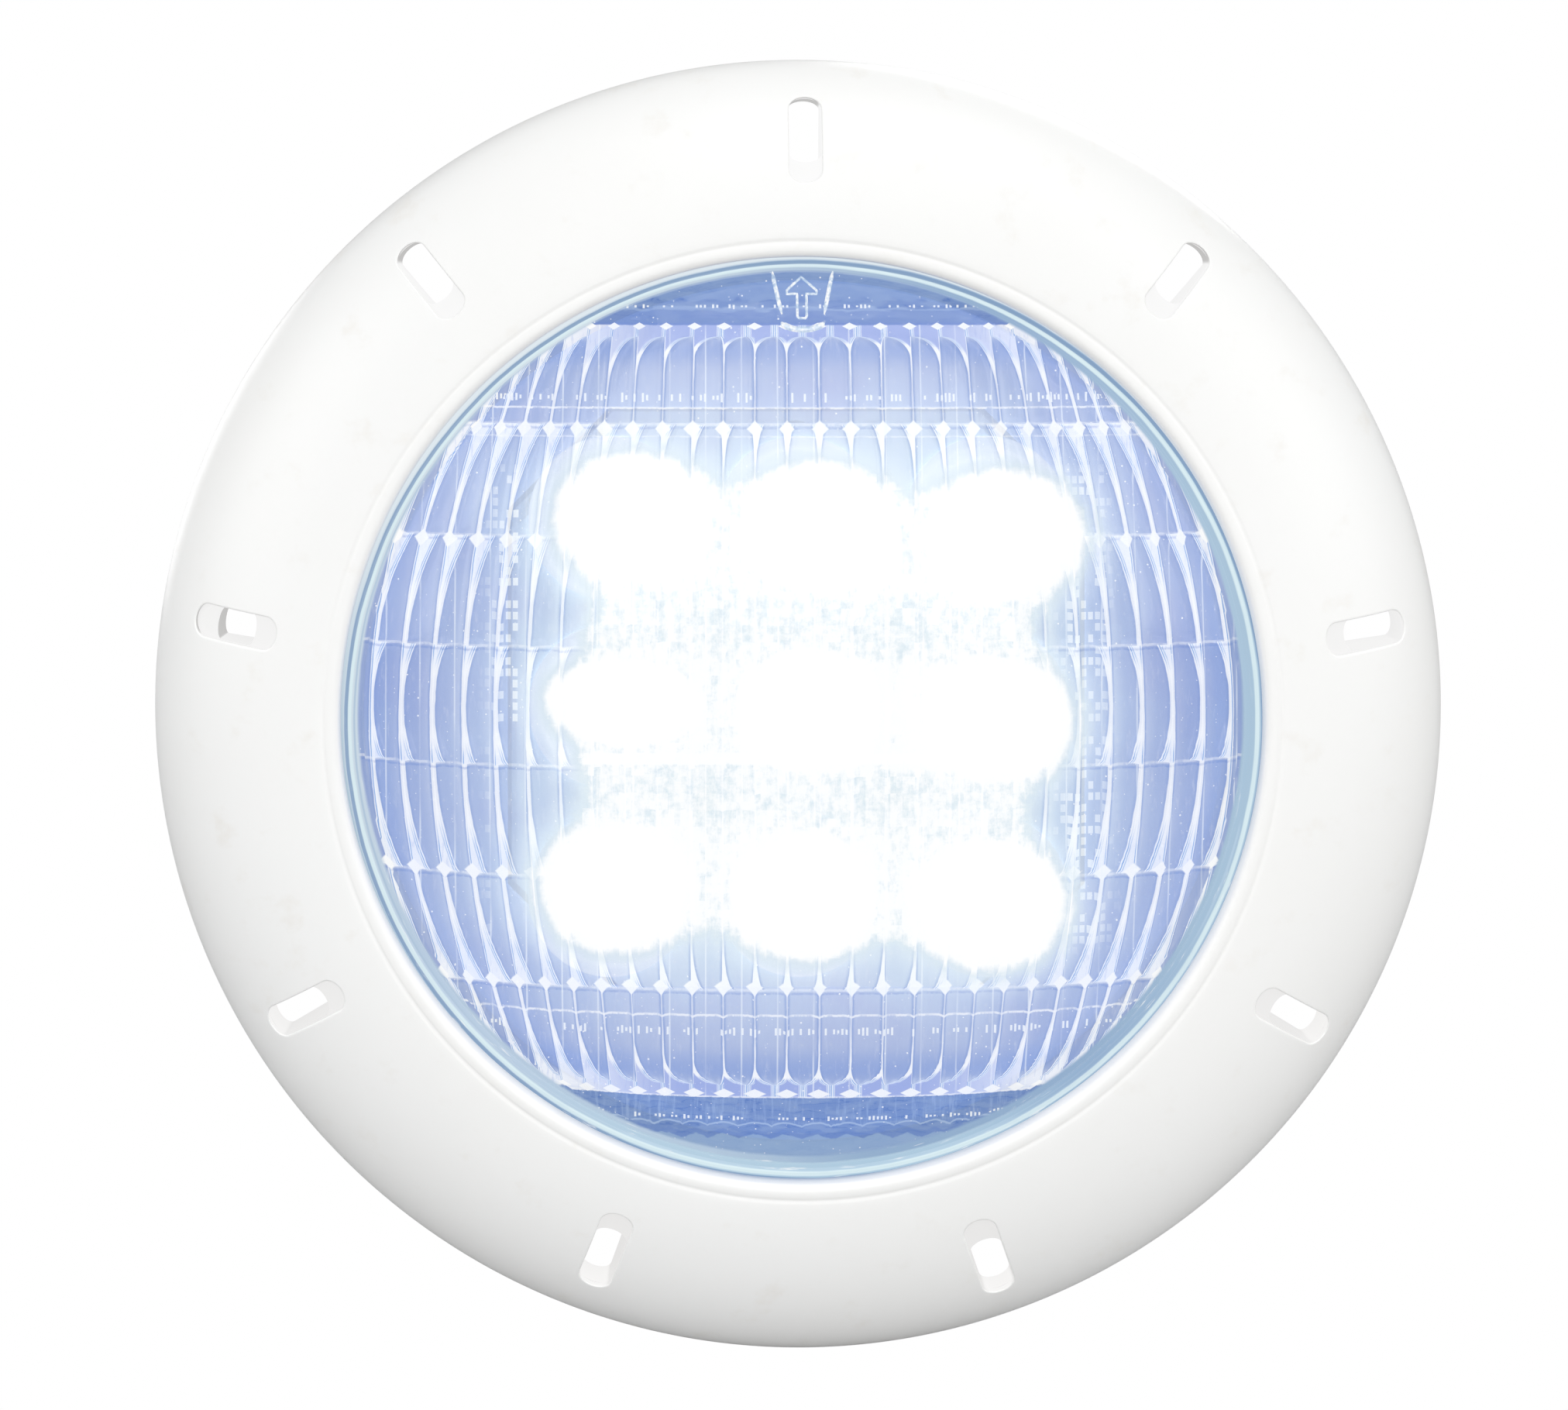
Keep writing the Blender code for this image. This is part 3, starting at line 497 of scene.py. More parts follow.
def rounded_boxes(name, boxes, bevel=0.5, seg=2):
    """Boxes given as (x0, x1, y0, y1, z0, z1, turn) in local mm, each with rounded edges, in one object."""
    bm = bmesh.new()
    for x0, x1, y0, y1, z0, z1, turn in boxes:
        m = (Matrix.Rotation(turn, 4, "Z") @ Matrix.Translation(((x0 + x1) / 2, (y0 + y1) / 2, (z0 + z1) / 2))
             @ Matrix.Diagonal((x1 - x0, y1 - y0, z1 - z0, 1.0)))
        made = bmesh.ops.create_cube(bm, size=1.0, matrix=m)["verts"]
        edges = list({e for v in made for e in v.link_edges})
        bmesh.ops.bevel(bm, geom=edges, offset=bevel, offset_type="OFFSET", segments=seg, profile=0.5, affect="EDGES")
    for v in bm.verts:
        v.co = Vector(W(*v.co))
    bmesh.ops.recalc_face_normals(bm, faces=bm.faces)
    me = bpy.data.meshes.new(name)
    bm.to_mesh(me)
    bm.free()
    o = link(bpy.data.objects.new(name, me))
    me.shade_smooth()
    me.set_sharp_from_angle(angle=math.radians(35))
    return o


boxes = []
for k in LUG_SLOTS:
    boxes.append((111.9, 114.1, -4.8, 4.8, 7.2, 21.0, slot_theta(k)))
    boxes.append((107.9, 113.5, -6.0, 6.0, 6.6, 9.7, slot_theta(k)))
ring_lugs = rounded_boxes("ring_bayonet_lugs", boxes, 0.45)
# stiffening webs under the dome, between the slots
wv, wf = [], []
for k in range(SLOTS):
    th = slot_theta(k) + math.radians(20)
    prof = []
    top = [(R_FLAT + (R_OUT - R_FLAT - 1.4) * math.cos(t), SKIRT + (H_RING - SKIRT - 1.4) * math.sin(t))
           for t in np.linspace(math.radians(52), math.radians(2), 14)]
    low = [(136.2, 1.4), (134.6, 1.8), (128.0, 6.6), (121.6, 12.6), (121.0, 14.0)]
    prof = top + low
    n = len(prof)
    s = len(wv)
    for side in (-1.0, 1.0):
        for r, z in prof:
            wv.append((r * math.cos(th) - side * math.sin(th), r * math.sin(th) + side * math.cos(th), z))
    wf.append(tuple(range(s, s + n)))
    wf.append(tuple(range(s + 2 * n - 1, s + n - 1, -1)))
    for i in range(n):
        j = (i + 1) % n
        wf.append((s + i, s + n + i, s + n + j, s + j))
ring_webs = mesh_object("ring_webs", wv, wf, sharp=35)
fix_normals(ring_webs)


# White satin moulded plastic: faint warm and cool drift, fine mould texture, painted shade in the corners
def white_abs(name, base, dirt, rough=0.36, fine=1.0, slots=False):
    t = Tree(name)
    pos, x, y, z = t.position()
    big = t.noise(pos, 0.012, 3, 0.55)
    mid = t.noise(pos, 0.11, 4, 0.6)
    grain = t.noise(pos, 3.2, 3, 0.6)
    col = t.mix(t.math("MULTIPLY", big, 0.55), base, dirt)
    col = t.mix(t.step(0.56, 0.80, mid), col, dirt)
    # painted shade: an occlusion pass darkens corners and recesses a little toward a warm grey
    ao = t.node("ShaderNodeAmbientOcclusion", samples=4, only_local=False)
    ao.inputs["Distance"].default_value = 0.004
    shade = t.math("POWER", ao.outputs["AO"], 0.8)
    col = t.mix(t.math("MULTIPLY", t.math("SUBTRACT", 1.0, shade), 0.12), col, srgb(196, 192, 186))
    if slots:      # painted shade: the upper half is darkened a little, up to 8 percent towards the top, where the lamps here light it too brightly
        col = t.mix(t.math("MULTIPLY", t.step(-5.0, 130.0, y), 0.08), col, (0.0, 0.0, 0.0))
    r = t.math("MULTIPLY_ADD", grain, 0.10, rough - 0.05)
    r = t.math("MULTIPLY_ADD", t.math("SUBTRACT", mid, 0.5), 0.12, r)
    n1 = t.bump(grain, 0.00003, 0.35 * fine)
    n2 = t.bump(mid, 0.0006, 0.05 * fine, n1)
    p = t.principled(**{"Base Color": col, "Roughness": r, "Normal": n2, "IOR": 1.49, "Subsurface Weight": 0.0,
                        "Specular IOR Level": 0.5})
    if not slots:
        return t.done(p.outputs[0])
    # painted light: the walls and floor of each slot glow with emission, brighter towards the top, so that they read
    # much like the face around them
    inside = t.node("ShaderNodeAttribute", attribute_name="slot_inside").outputs["Fac"]
    up = t.node("ShaderNodeSeparateXYZ")
    t.put(up.inputs[0], t.node("ShaderNodeNewGeometry").outputs["Normal"])
    face = t.mix(t.step(-130.0, 130.0, y, False), srgb(231, 230, 229), srgb(252, 252, 252))
    # painted shade and light: the outer end wall faces the axis; it is painted dark on the upper slots and bright on
    # the lower ones
    r = t.math("SQRT", t.math("ADD", t.math("MULTIPLY", x, x), t.math("MULTIPLY", y, y)))
    inward = t.math("MULTIPLY", t.math("ADD", t.math("MULTIPLY", x, up.outputs["X"]), t.math("MULTIPLY", y, up.outputs["Z"])), -1.0)
    end = t.step(0.35, 0.85, t.math("DIVIDE", inward, r))
    shaded = t.step(-5.0, 45.0, t.math("MULTIPLY_ADD", x, -0.25, y))
    walls = t.mix(t.math("MULTIPLY", end, shaded), face, srgb(194, 193, 192))
    walls = t.mix(t.math("MULTIPLY", end, t.step(-25.0, -80.0, y)), walls, srgb(250, 249, 248))
    glow = t.node("ShaderNodeEmission")
    t.put(glow.inputs["Color"], walls)
    both = t.node("ShaderNodeMixShader")
    t.put(both.inputs[0], t.math("MULTIPLY", inside, 0.86))
    t.l.new(p.outputs[0], both.inputs[1])
    t.l.new(glow.outputs[0], both.inputs[2])
    return t.done(both.outputs[0])


MAT_RING = white_abs("moulded_white", srgb(246, 246, 245), srgb(240, 238, 234))
MAT_FACE = white_abs("moulded_white_face_painted_shade_and_light", srgb(246, 246, 245), srgb(240, 238, 234), slots=True)
for o in (ring, ring_lugs, ring_webs):
    o.data.materials.append(MAT_FACE if o is ring else MAT_RING)
    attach(o, "ring")
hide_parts("face_ring")


# ---------------------------------------------------------------------------
# 2  Lens: one closed body. Smooth dome and bead outside, flutes and prism rows inside
# ---------------------------------------------------------------------------
LENS_R = 94.6
IN_R = 91.0                            # radius of the fluted zone
PAD_R = 92.6                           # where the pads of the rows run out
PITCH = 6.6                            # flute pitch
ROWS = (81.2, 60.9, 38.1, 15.7, -8.5, -31.2, -54.3, -77.2)    # heights of the prism-row lines
LED_PITCH = 40.0


def z_out(r):
    return 23.5 + 15.0 * np.sqrt(np.clip(1 - (np.asarray(r, float) / LENS_R) ** 2, 0, 1))


def z_in(r):
    return 19.0 + 14.0 * np.sqrt(np.clip(1 - (np.asarray(r, float) / 92.0) ** 2, 0, 1))


def row_coord(y):
    y = np.asarray(y, float)
    return np.where(y > ROWS[0], -(y - ROWS[0]) / 20.0,
                    np.where(y < ROWS[-1], 7 + (ROWS[-1] - y) / 20.0,
                             np.interp(-y, [-v for v in ROWS], range(8))))


END = (1.0, 0.46, 0.34, 0.20, 0.26, 0.40, 1.0)        # share of the pad's width lost at the row's outer end


def warp(x0, y):
    return x0 * (1 - 0.32 * np.abs(x0 / 90) ** 1.35 * (y / 90) ** 2)


def pad_shape(x0, y):
    """Signed distance inside the pad, as a share of the pitch, at a point of the fluted zone."""
    a = x0 / PITCH
    cell = np.round(a)
    u = a - cell
    rho = row_coord(y)
    j = np.clip(np.floor(rho), 0, 6).astype(int)
    f = rho - j
    v = np.where(j < 3, 1 - f, np.where(j > 3, f, np.abs(2 * f - 1)))
    e = np.array(END)[j]
    end_row = (j == 0) | (j == 6)
    a0 = np.where(end_row, 0.70 - 0.70 * smoothstep(15, 70, np.abs(x0)), 0.0)
    gap = np.where(end_row, 0.12, 0.0)
    t = np.clip((v - a0) / (1 - gap - a0), 0, 1)
    power = 7.0 - 4.6 * smoothstep(10, 65, np.abs(x0))
    e = np.minimum(1.0, e * (0.85 + 0.75 * smoothstep(20, 70, np.abs(x0))))
    uh = 0.5 * np.where(end_row, np.sqrt(np.clip(1 - t ** 2, 0, 1)), 1 - e * t ** power)
    xe = warp((cell - 0.5 * np.sign(cell)) * PITCH, y)
    g = np.clip((PAD_R - np.hypot(xe, y)) / 11.0, 0, 1)
    uh = np.minimum(uh, 0.5 * np.sqrt(np.clip(1 - (1 - g) ** 2, 0, 1)))
    s = (0.5 - uh) * -np.clip(x0 / 22.0, -1, 1)
    uh = uh - 0.022 - 0.06 * smoothstep(35, 80, np.abs(x0))
    return np.where((rho < 0) | (rho > 7), 0.2, uh - np.abs(u - s))


nx = 12
cols = np.arange(-16 * nx - 6, 16 * nx + 7) * (PITCH / nx)
ys = [94.0, 93.0, 92.0, 91.0, 90.0, 89.0, 88.0, 87.0, 86.0, 85.0, 84.0, 83.0, 82.1]
for j in range(7):
    ys += list(np.linspace(ROWS[j], ROWS[j + 1], 27)[:-1])
ys += [ROWS[-1], -78.1, -79.2, -80.3, -81.4, -82.5, -83.6, -84.7, -85.8, -86.9, -88.0, -89.0, -90.0, -91.0, -92.0, -93.0]
ys = np.array(ys)
X0, Y = np.meshgrid(cols, ys)
X = warp(X0, Y)
R = np.hypot(X, Y)
cx = (X[:-1, :-1] + X[1:, 1:] + X[:-1, 1:] + X[1:, :-1]) / 4
cy = (Y[:-1, :-1] + Y[1:, 1:] + Y[:-1, 1:] + Y[1:, :-1]) / 4
keep = np.hypot(cx, cy) < IN_R - 0.15
used = np.zeros(X.shape, int)
for di in (0, 1):
    for dj in (0, 1):
        used[di:di + keep.shape[0], dj:dj + keep.shape[1]] += keep
edge_v = (used > 0) & (used < 4)
dist = pad_shape(X0, Y)
relief = 1.25 * np.clip(dist / 0.16, 0, 1) ** 0.5 * np.clip(1.2 - R / 240, 0, 1)
relief = relief * smoothstep(IN_R, IN_R - 2.5, R)
Zi = z_in(np.minimum(R, IN_R)) - relief + 0.35 * smoothstep(IN_R - 3, IN_R, R)
scale = np.where(edge_v, IN_R / np.maximum(R, 1e-6), 1.0)
XB, YB = X * scale, Y * scale
Zi = np.where(edge_v, float(z_in(IN_R)) + 0.35, Zi)

lv, lf, lmat = [], [], []
index = -np.ones(X.shape, int)
uv_store = {}
for i, j in zip(*np.nonzero(used)):
    index[i, j] = len(lv)
    lv.append((XB[i, j], YB[i, j], Zi[i, j]))
rho_g = row_coord(Y)
uvA = [(0.0, 0.0)] * len(lv)
for i, j in zip(*np.nonzero(used)):
    uvA[index[i, j]] = (X0[i, j] / PITCH, rho_g[i, j])
for i, j in zip(*np.nonzero(keep)):
    lf.append((index[i, j], index[i + 1, j], index[i + 1, j + 1], index[i, j + 1]))
    lmat.append(1)
bound = [int(index[i, j]) for i, j in zip(*np.nonzero(edge_v))]
bound.sort(key=lambda v: math.atan2(lv[v][1], lv[v][0]))
NL = 360
prof = [(91.35, 20.6, 2), (91.6, 19.9, 2), (91.8, 19.0, 2), (91.95, 18.2, 2), (92.2, 17.9, 2), (92.4, 17.7, 2),
        (92.4, 12.5, 2), (92.6, 12.3, 2), (102.8, 12.3, 2), (103.0, 12.5, 2), (103.0, 17.6, 2), (102.8, 17.8, 2),
        (95.2, 17.8, 2), (94.75, 18.0, 2), (94.6, 18.5, 2), (94.6, 22.4, 2), (94.58, 23.3, 2), (94.48, 24.2, 2), (94.3, 24.8, 2),
        (94.0, 25.25, 2), (93.6, 25.5, 2), (93.2, 25.55, 2), (92.8, 25.4, 2), (92.45, 25.15, 2), (92.2, 25.05, 2), (91.95, 25.15, 2),
        (91.7, 25.5, 2), (91.4, 26.2, 2), (91.0, 26.8, 2), (90.4, 27.4, 2), (89.6, 27.95, 0), (88.4, 28.5, 0)]
rr = list(np.linspace(87.0, 1.2, 56))
prof += [(r, float(z_out(r)) - 0.12 * float(smoothstep(70, 88, r)), 0) for r in rr]
prev, prev_mat = None, None
for r, z, mt in prof:
    s = len(lv)
    for k in range(NL):
        a = 2 * math.pi * k / NL - math.pi
        lv.append((r * math.cos(a), r * math.sin(a), z))
        uvA.append((0.0, 0.0))
    cur = list(range(s, s + NL))
    if prev is not None:
        for k in range(NL):
            j = (k + 1) % NL
            lf.append((prev[k], prev[j], cur[j], cur[k]))
            lmat.append(mt)
    else:
        first_ring = cur
    prev = cur
s = len(lv)
lv.append((0, 0, 38.5))
uvA.append((0.0, 0.0))
for k in range(NL):
    lf.append((prev[k], prev[(k + 1) % NL], s))
    lmat.append(0)
# stitch the fluted patch's edge to the first plain ring, walking round by angle
ang_b = [math.atan2(lv[v][1], lv[v][0]) for v in bound]
ang_r = [math.atan2(lv[v][1], lv[v][0]) for v in first_ring]
order = sorted(range(NL), key=lambda k: ang_r[k])
ringv = [first_ring[k] for k in order]
ang_r = [ang_r[k] for k in order]
i = j = 0
nb, nr = len(bound), len(ringv)
while i < nb or j < nr:
    ai = ang_b[(i + 1) % nb] + (2 * math.pi if i + 1 >= nb else 0)
    aj = ang_r[(j + 1) % nr] + (2 * math.pi if j + 1 >= nr else 0)
    if j >= nr or (i < nb and ai <= aj):
        lf.append((bound[i % nb], bound[(i + 1) % nb], ringv[j % nr]))
        i += 1
    else:
        lf.append((ringv[(j + 1) % nr], ringv[j % nr], bound[i % nb]))
        j += 1
    lmat.append(2)
lens = mesh_object("lens_glass", lv, lf)
me = lens.data
uvl = me.uv_layers.new(name="cell")
loop_v = np.zeros(len(me.loops), int)
me.loops.foreach_get("vertex_index", loop_v)
uvl.data.foreach_set("uv", np.array(uvA, np.float32)[loop_v].ravel())
if len(me.polygons) == len(lmat):
    me.polygons.foreach_set("material_index", np.array(lmat, np.int32))
fix_normals(lens)
lens.data.shade_smooth()
lens.data.set_sharp_from_angle(angle=math.radians(50))


# --- optical shaders -------------------------------------------------------
def led_fields(t, plane_z):
    """Fields of the lit LED block, followed along the view ray to the optics plane."""
    pos, x, y, z = t.position()
    geo = t.node("ShaderNodeNewGeometry")
    inc = t.node("ShaderNodeSeparateXYZ")
    t.put(inc.inputs[0], geo.outputs["Incoming"])
    depth = t.math("SUBTRACT", z, plane_z)
    toward = t.math("MAXIMUM", t.math("MULTIPLY", inc.outputs[1], -1.0), 0.25)
    k = t.math("DIVIDE", depth, toward)
    px = t.math("SUBTRACT", x, t.math("MULTIPLY", inc.outputs[0], k))
    py = t.math("SUBTRACT", y, t.math("MULTIPLY", inc.outputs[2], k))
    return pos, x, y, z, px, py


SEEN_PITCH, SEEN_TURN, SEEN_X, SEEN_Y = 39.0, math.radians(2.6), 2.6, -0.9


def seen(t, px, py):
    """The LED block as the lens prisms show it: drawn in a little, turned and moved a little."""
    ax, ay = t.math("SUBTRACT", px, SEEN_X), t.math("SUBTRACT", py, SEEN_Y)
    c, s = math.cos(SEEN_TURN), math.sin(SEEN_TURN)
    return (t.math("SUBTRACT", t.math("MULTIPLY", ax, c), t.math("MULTIPLY", ay, s)),
            t.math("ADD", t.math("MULTIPLY", ax, s), t.math("MULTIPLY", ay, c)))


def nearest_led(t, px, py):
    def off(p):
        k = t.math("ROUND", t.math("DIVIDE", p, SEEN_PITCH))
        k = t.math("MINIMUM", t.math("MAXIMUM", k, -1.0), 1.0)
        return t.math("SUBTRACT", p, t.math("MULTIPLY", k, SEEN_PITCH))
    ox, oy = off(px), off(py)
    return t.math("SQRT", t.math("ADD", t.math("MULTIPLY", ox, ox), t.math("MULTIPLY", oy, oy))), ox, oy


def block_distance(t, px, py, half=34.0):
    a = t.math("MULTIPLY", t.math("MAXIMUM", t.math("SUBTRACT", t.math("ABSOLUTE", px), half), 0.0), 0.80)
    b = t.math("MAXIMUM", t.math("SUBTRACT", t.math("ABSOLUTE", py), half), 0.0)
    return t.math("SQRT", t.math("ADD", t.math("MULTIPLY", a, a), t.math("MULTIPLY", b, b)))


def xy_vec(t, x, y, z=0.0):
    c = t.node("ShaderNodeCombineXYZ")
    t.put(c.inputs[0], x)
    t.put(c.inputs[1], y)
    t.put(c.inputs[2], z)
    return c.outputs[0]


GLOW_STOPS = [(0.0, (224, 237, 243)), (8.0, (219, 232, 241)), (17.0, (212, 225, 239)), (24.0, (205, 217, 236)), (30.0, (196, 207, 231)),
              (37.0, (184, 195, 224)), (43.0, (171, 185, 219)), (52.0, (148, 168, 211)), (62.0, (116, 145, 200))]


def glow_ramp(t, d, stops=GLOW_STOPS, span=70.0):
    return t.ramp(t.math("DIVIDE", d, span), [(p / span, srgb(*c)) for p, c in stops])


def band(t, v, centre, half, soft):
    """1 inside centre +- half, fading over soft."""
    d = t.math("ABSOLUTE", t.math("SUBTRACT", v, centre))
    return t.math("SUBTRACT", 1.0, t.step(half, half + soft, d))


def specks(t, vec, scale, size, share, seed):
    """Small scattered dots: share of the cells hold one, each of radius size in cell units."""
    v = t.node("ShaderNodeTexVoronoi", feature="F1")
    t.put(v.inputs["Vector"], t.vmath("ADD", vec, (seed, seed * 1.7, seed * 0.3)))
    t.put(v.inputs["Scale"], scale)
    dot = t.math("SUBTRACT", 1.0, t.step(size * 0.6, size, v.outputs["Distance"]))
    sep = t.node("ShaderNodeSeparateColor")
    t.put(sep.inputs[0], v.outputs["Color"])
    return t.math("MULTIPLY", dot, t.math("GREATER_THAN", share, sep.outputs[0]))


def cells(t, x, y, px, py, seed):
    """A random number for each px by py block."""
    w = t.node("ShaderNodeTexWhiteNoise", noise_dimensions="3D")
    t.put(w.inputs["Vector"], xy_vec(t, t.math("FLOOR", t.math("DIVIDE", x, px)), t.math("FLOOR", t.math("DIVIDE", y, py)), seed))
    return w.outputs["Value"]


def row_and_flute(t, x, y):
    """Flute and row coordinates of a point, for places outside the fluted patch."""
    ya = t.math("DIVIDE", y, 90.0)
    ya = t.math("MULTIPLY", ya, ya)
    x0 = x
    for _ in range(3):
        k = t.math("MULTIPLY", t.math("POWER", t.math("DIVIDE", t.math("ABSOLUTE", x0), 90.0), 1.35), ya)
        x0 = t.math("DIVIDE", x, t.math("MAXIMUM", t.math("MULTIPLY_ADD", k, -0.32, 1.0), 0.4))
    ends = [(-ROWS[0] - 20.0, -1.0)] + [(-v, float(k)) for k, v in enumerate(ROWS)] + [(-ROWS[-1] + 20.0, 8.0)]
    low, high = ends[0][0], ends[-1][0]
    rr = t.ramp(t.math("DIVIDE", t.math("SUBTRACT", t.math("MULTIPLY", y, -1.0), low), high - low),
                [((q - low) / (high - low), ((v + 1.0) / 9.0,) * 3) for q, v in ends])
    sep = t.node("ShaderNodeSeparateColor")
    t.put(sep.inputs[0], rr)
    return t.math("DIVIDE", x0, PITCH), t.math("MULTIPLY_ADD", sep.outputs[0], 9.0, -1.0)


def prism_colour(t, pos, x, y, px, py, a, rho):
    """(colour, share that is opaque) of the fluted zone. The colour is painted light, given as emission: the glow of
    the LEDs through the prisms, bright grooves, glints and images of the board.
    """
    wob = t.noise(xy_vec(t, t.math("MULTIPLY", x, 0.35), t.math("MULTIPLY", y, 0.10)), 1.0, 3, 0.6)
    wob = t.math("SUBTRACT", wob, 0.5)
    cell = t.math("ROUND", a)
    u = t.math("SUBTRACT", a, cell)
    u = t.math("ADD", u, t.math("MULTIPLY", wob, 0.07))
    j = t.math("MINIMUM", t.math("MAXIMUM", t.math("FLOOR", rho), 0.0), 6.0)
    f = t.math("SUBTRACT", rho, j)
    upper = t.math("LESS_THAN", j, 2.5)
    lower = t.math("GREATER_THAN", j, 3.5)
    mid = t.math("SUBTRACT", 1.0, t.math("ADD", upper, lower))
    v = t.math("MULTIPLY", upper, t.math("SUBTRACT", 1.0, f))
    v = t.math("ADD", v, t.math("MULTIPLY", lower, f))
    v = t.math("ADD", v, t.math("MULTIPLY", mid, t.math("ABSOLUTE", t.math("MULTIPLY_ADD", f, 2.0, -1.0))))
    x0 = t.math("MULTIPLY", a, PITCH)
    ax0 = t.math("ABSOLUTE", x0)
    r = t.math("SQRT", t.math("ADD", t.math("MULTIPLY", x, x), t.math("MULTIPLY", y, y)))
    e = t.ramp(t.math("DIVIDE", t.math("ADD", j, 0.5), 7.0), [(k / 7.0, (END[k],) * 3) for k in range(7)], "CONSTANT")
    rnd = t.node("ShaderNodeTexWhiteNoise", noise_dimensions="2D")
    t.put(rnd.inputs["Vector"], xy_vec(t, cell, j))
    jit = t.math("MULTIPLY_ADD", rnd.outputs["Value"], 0.24, -0.12)
    end_row = t.math("MAXIMUM", t.math("LESS_THAN", j, 0.5), t.math("GREATER_THAN", j, 5.5))
    a0 = t.math("MULTIPLY", end_row, t.math("MULTIPLY_ADD", t.step(15.0, 70.0, ax0), -0.70, 0.70))
    gap = t.math("MULTIPLY", end_row, 0.12)
    tt = t.math("DIVIDE", t.math("SUBTRACT", v, a0), t.math("SUBTRACT", t.math("SUBTRACT", 1.0, gap), a0), clamp=True)
    arch = t.math("SQRT", t.math("MAXIMUM", t.math("SUBTRACT", 1.0, t.math("MULTIPLY", tt, tt)), 0.0))
    e2 = t.math("MULTIPLY", e, t.math("MULTIPLY_ADD", t.step(20.0, 70.0, ax0), 0.75, 0.85))
    e2 = t.math("MINIMUM", t.math("MULTIPLY", e2, t.math("ADD", 1.0, jit)), 1.0)
    power = t.math("MULTIPLY_ADD", t.step(10.0, 65.0, ax0), -4.6, 7.0)
    taper = t.math("SUBTRACT", 1.0, t.math("MULTIPLY", e2, t.math("POWER", tt, power)))
    uh0 = t.math("ADD", t.math("MULTIPLY", end_row, arch), t.math("MULTIPLY", t.math("SUBTRACT", 1.0, end_row), taper))
    uh0 = t.math("MULTIPLY", uh0, 0.5)
    xe0 = t.math("MULTIPLY", t.math("SUBTRACT", cell, t.math("MULTIPLY", t.math("SIGN", cell), 0.5)), PITCH)
    ye = t.math("DIVIDE", y, 90.0)
    shrink = t.math("MULTIPLY", t.math("POWER", t.math("DIVIDE", t.math("ABSOLUTE", xe0), 90.0), 1.35), t.math("MULTIPLY", ye, ye))
    xe = t.math("MULTIPLY", xe0, t.math("MULTIPLY_ADD", shrink, -0.32, 1.0))
    re = t.math("SQRT", t.math("ADD", t.math("MULTIPLY", xe, xe), t.math("MULTIPLY", y, y)))
    g = t.math("DIVIDE", t.math("SUBTRACT", PAD_R, re), 11.0, clamp=True)
    g1 = t.math("SUBTRACT", 1.0, g)
    fin = t.math("MULTIPLY", t.math("SQRT", t.math("MAXIMUM", t.math("SUBTRACT", 1.0, t.math("MULTIPLY", g1, g1)), 0.0)), 0.5)
    uh0 = t.math("MINIMUM", uh0, fin)
    side = t.math("MINIMUM", t.math("MAXIMUM", t.math("DIVIDE", x0, -22.0), -1.0), 1.0)
    shift = t.math("MULTIPLY", t.math("SUBTRACT", 0.5, uh0), side)
    wide = t.math("MULTIPLY_ADD", t.step(35.0, 80.0, ax0), 0.06, 0.010)
    uh = t.math("SUBTRACT", uh0, t.math("ADD", wide, t.math("MULTIPLY", t.noise(pos, 0.3, 2), 0.03)))
    inside = t.math("SUBTRACT", uh, t.math("ABSOLUTE", t.math("SUBTRACT", u, shift)))
    cap = t.math("MAXIMUM", t.math("LESS_THAN", rho, 0.0), t.math("GREATER_THAN", rho, 7.0))
    inside = t.math("ADD", t.math("MULTIPLY", inside, t.math("SUBTRACT", 1.0, cap)), t.math("MULTIPLY", cap, 0.3))

    # light field of the LED block, bent a little by each flute
    bend = t.math("MULTIPLY", u, t.math("MULTIPLY", 4.5, t.math("SUBTRACT", 1.0, cap)))
    grain_v = t.noise(xy_vec(t, t.math("MULTIPLY", x, 0.9), t.math("MULTIPLY", y, 0.16)), 1.0, 4, 0.7)
    grain_h = t.noise(xy_vec(t, t.math("MULTIPLY", x, 0.12), t.math("MULTIPLY", y, 0.8)), 1.0, 3, 0.6)
    qx, qy = seen(t, t.math("ADD", px, t.math("MULTIPLY", bend, 0.6)), py)
    d1, ox, oy = nearest_led(t, qx, qy)
    db = block_distance(t, px, py)
    drift = t.noise(pos, 0.045, 3, 0.5)
    dbn = t.math("ADD", db, t.math("MULTIPLY", t.math("SUBTRACT", drift, 0.5), 16.0))
    dbn = t.math("ADD", dbn, t.math("MULTIPLY", t.math("SUBTRACT", grain_v, 0.5), 9.0))
    base = glow_ramp(t, t.math("MAXIMUM", dbn, 0.0))
    base = t.mix(t.math("MULTIPLY", t.step(0.45, 0.7, drift), 0.30), base, t.mix(0.5, base, srgb(176, 168, 218)))
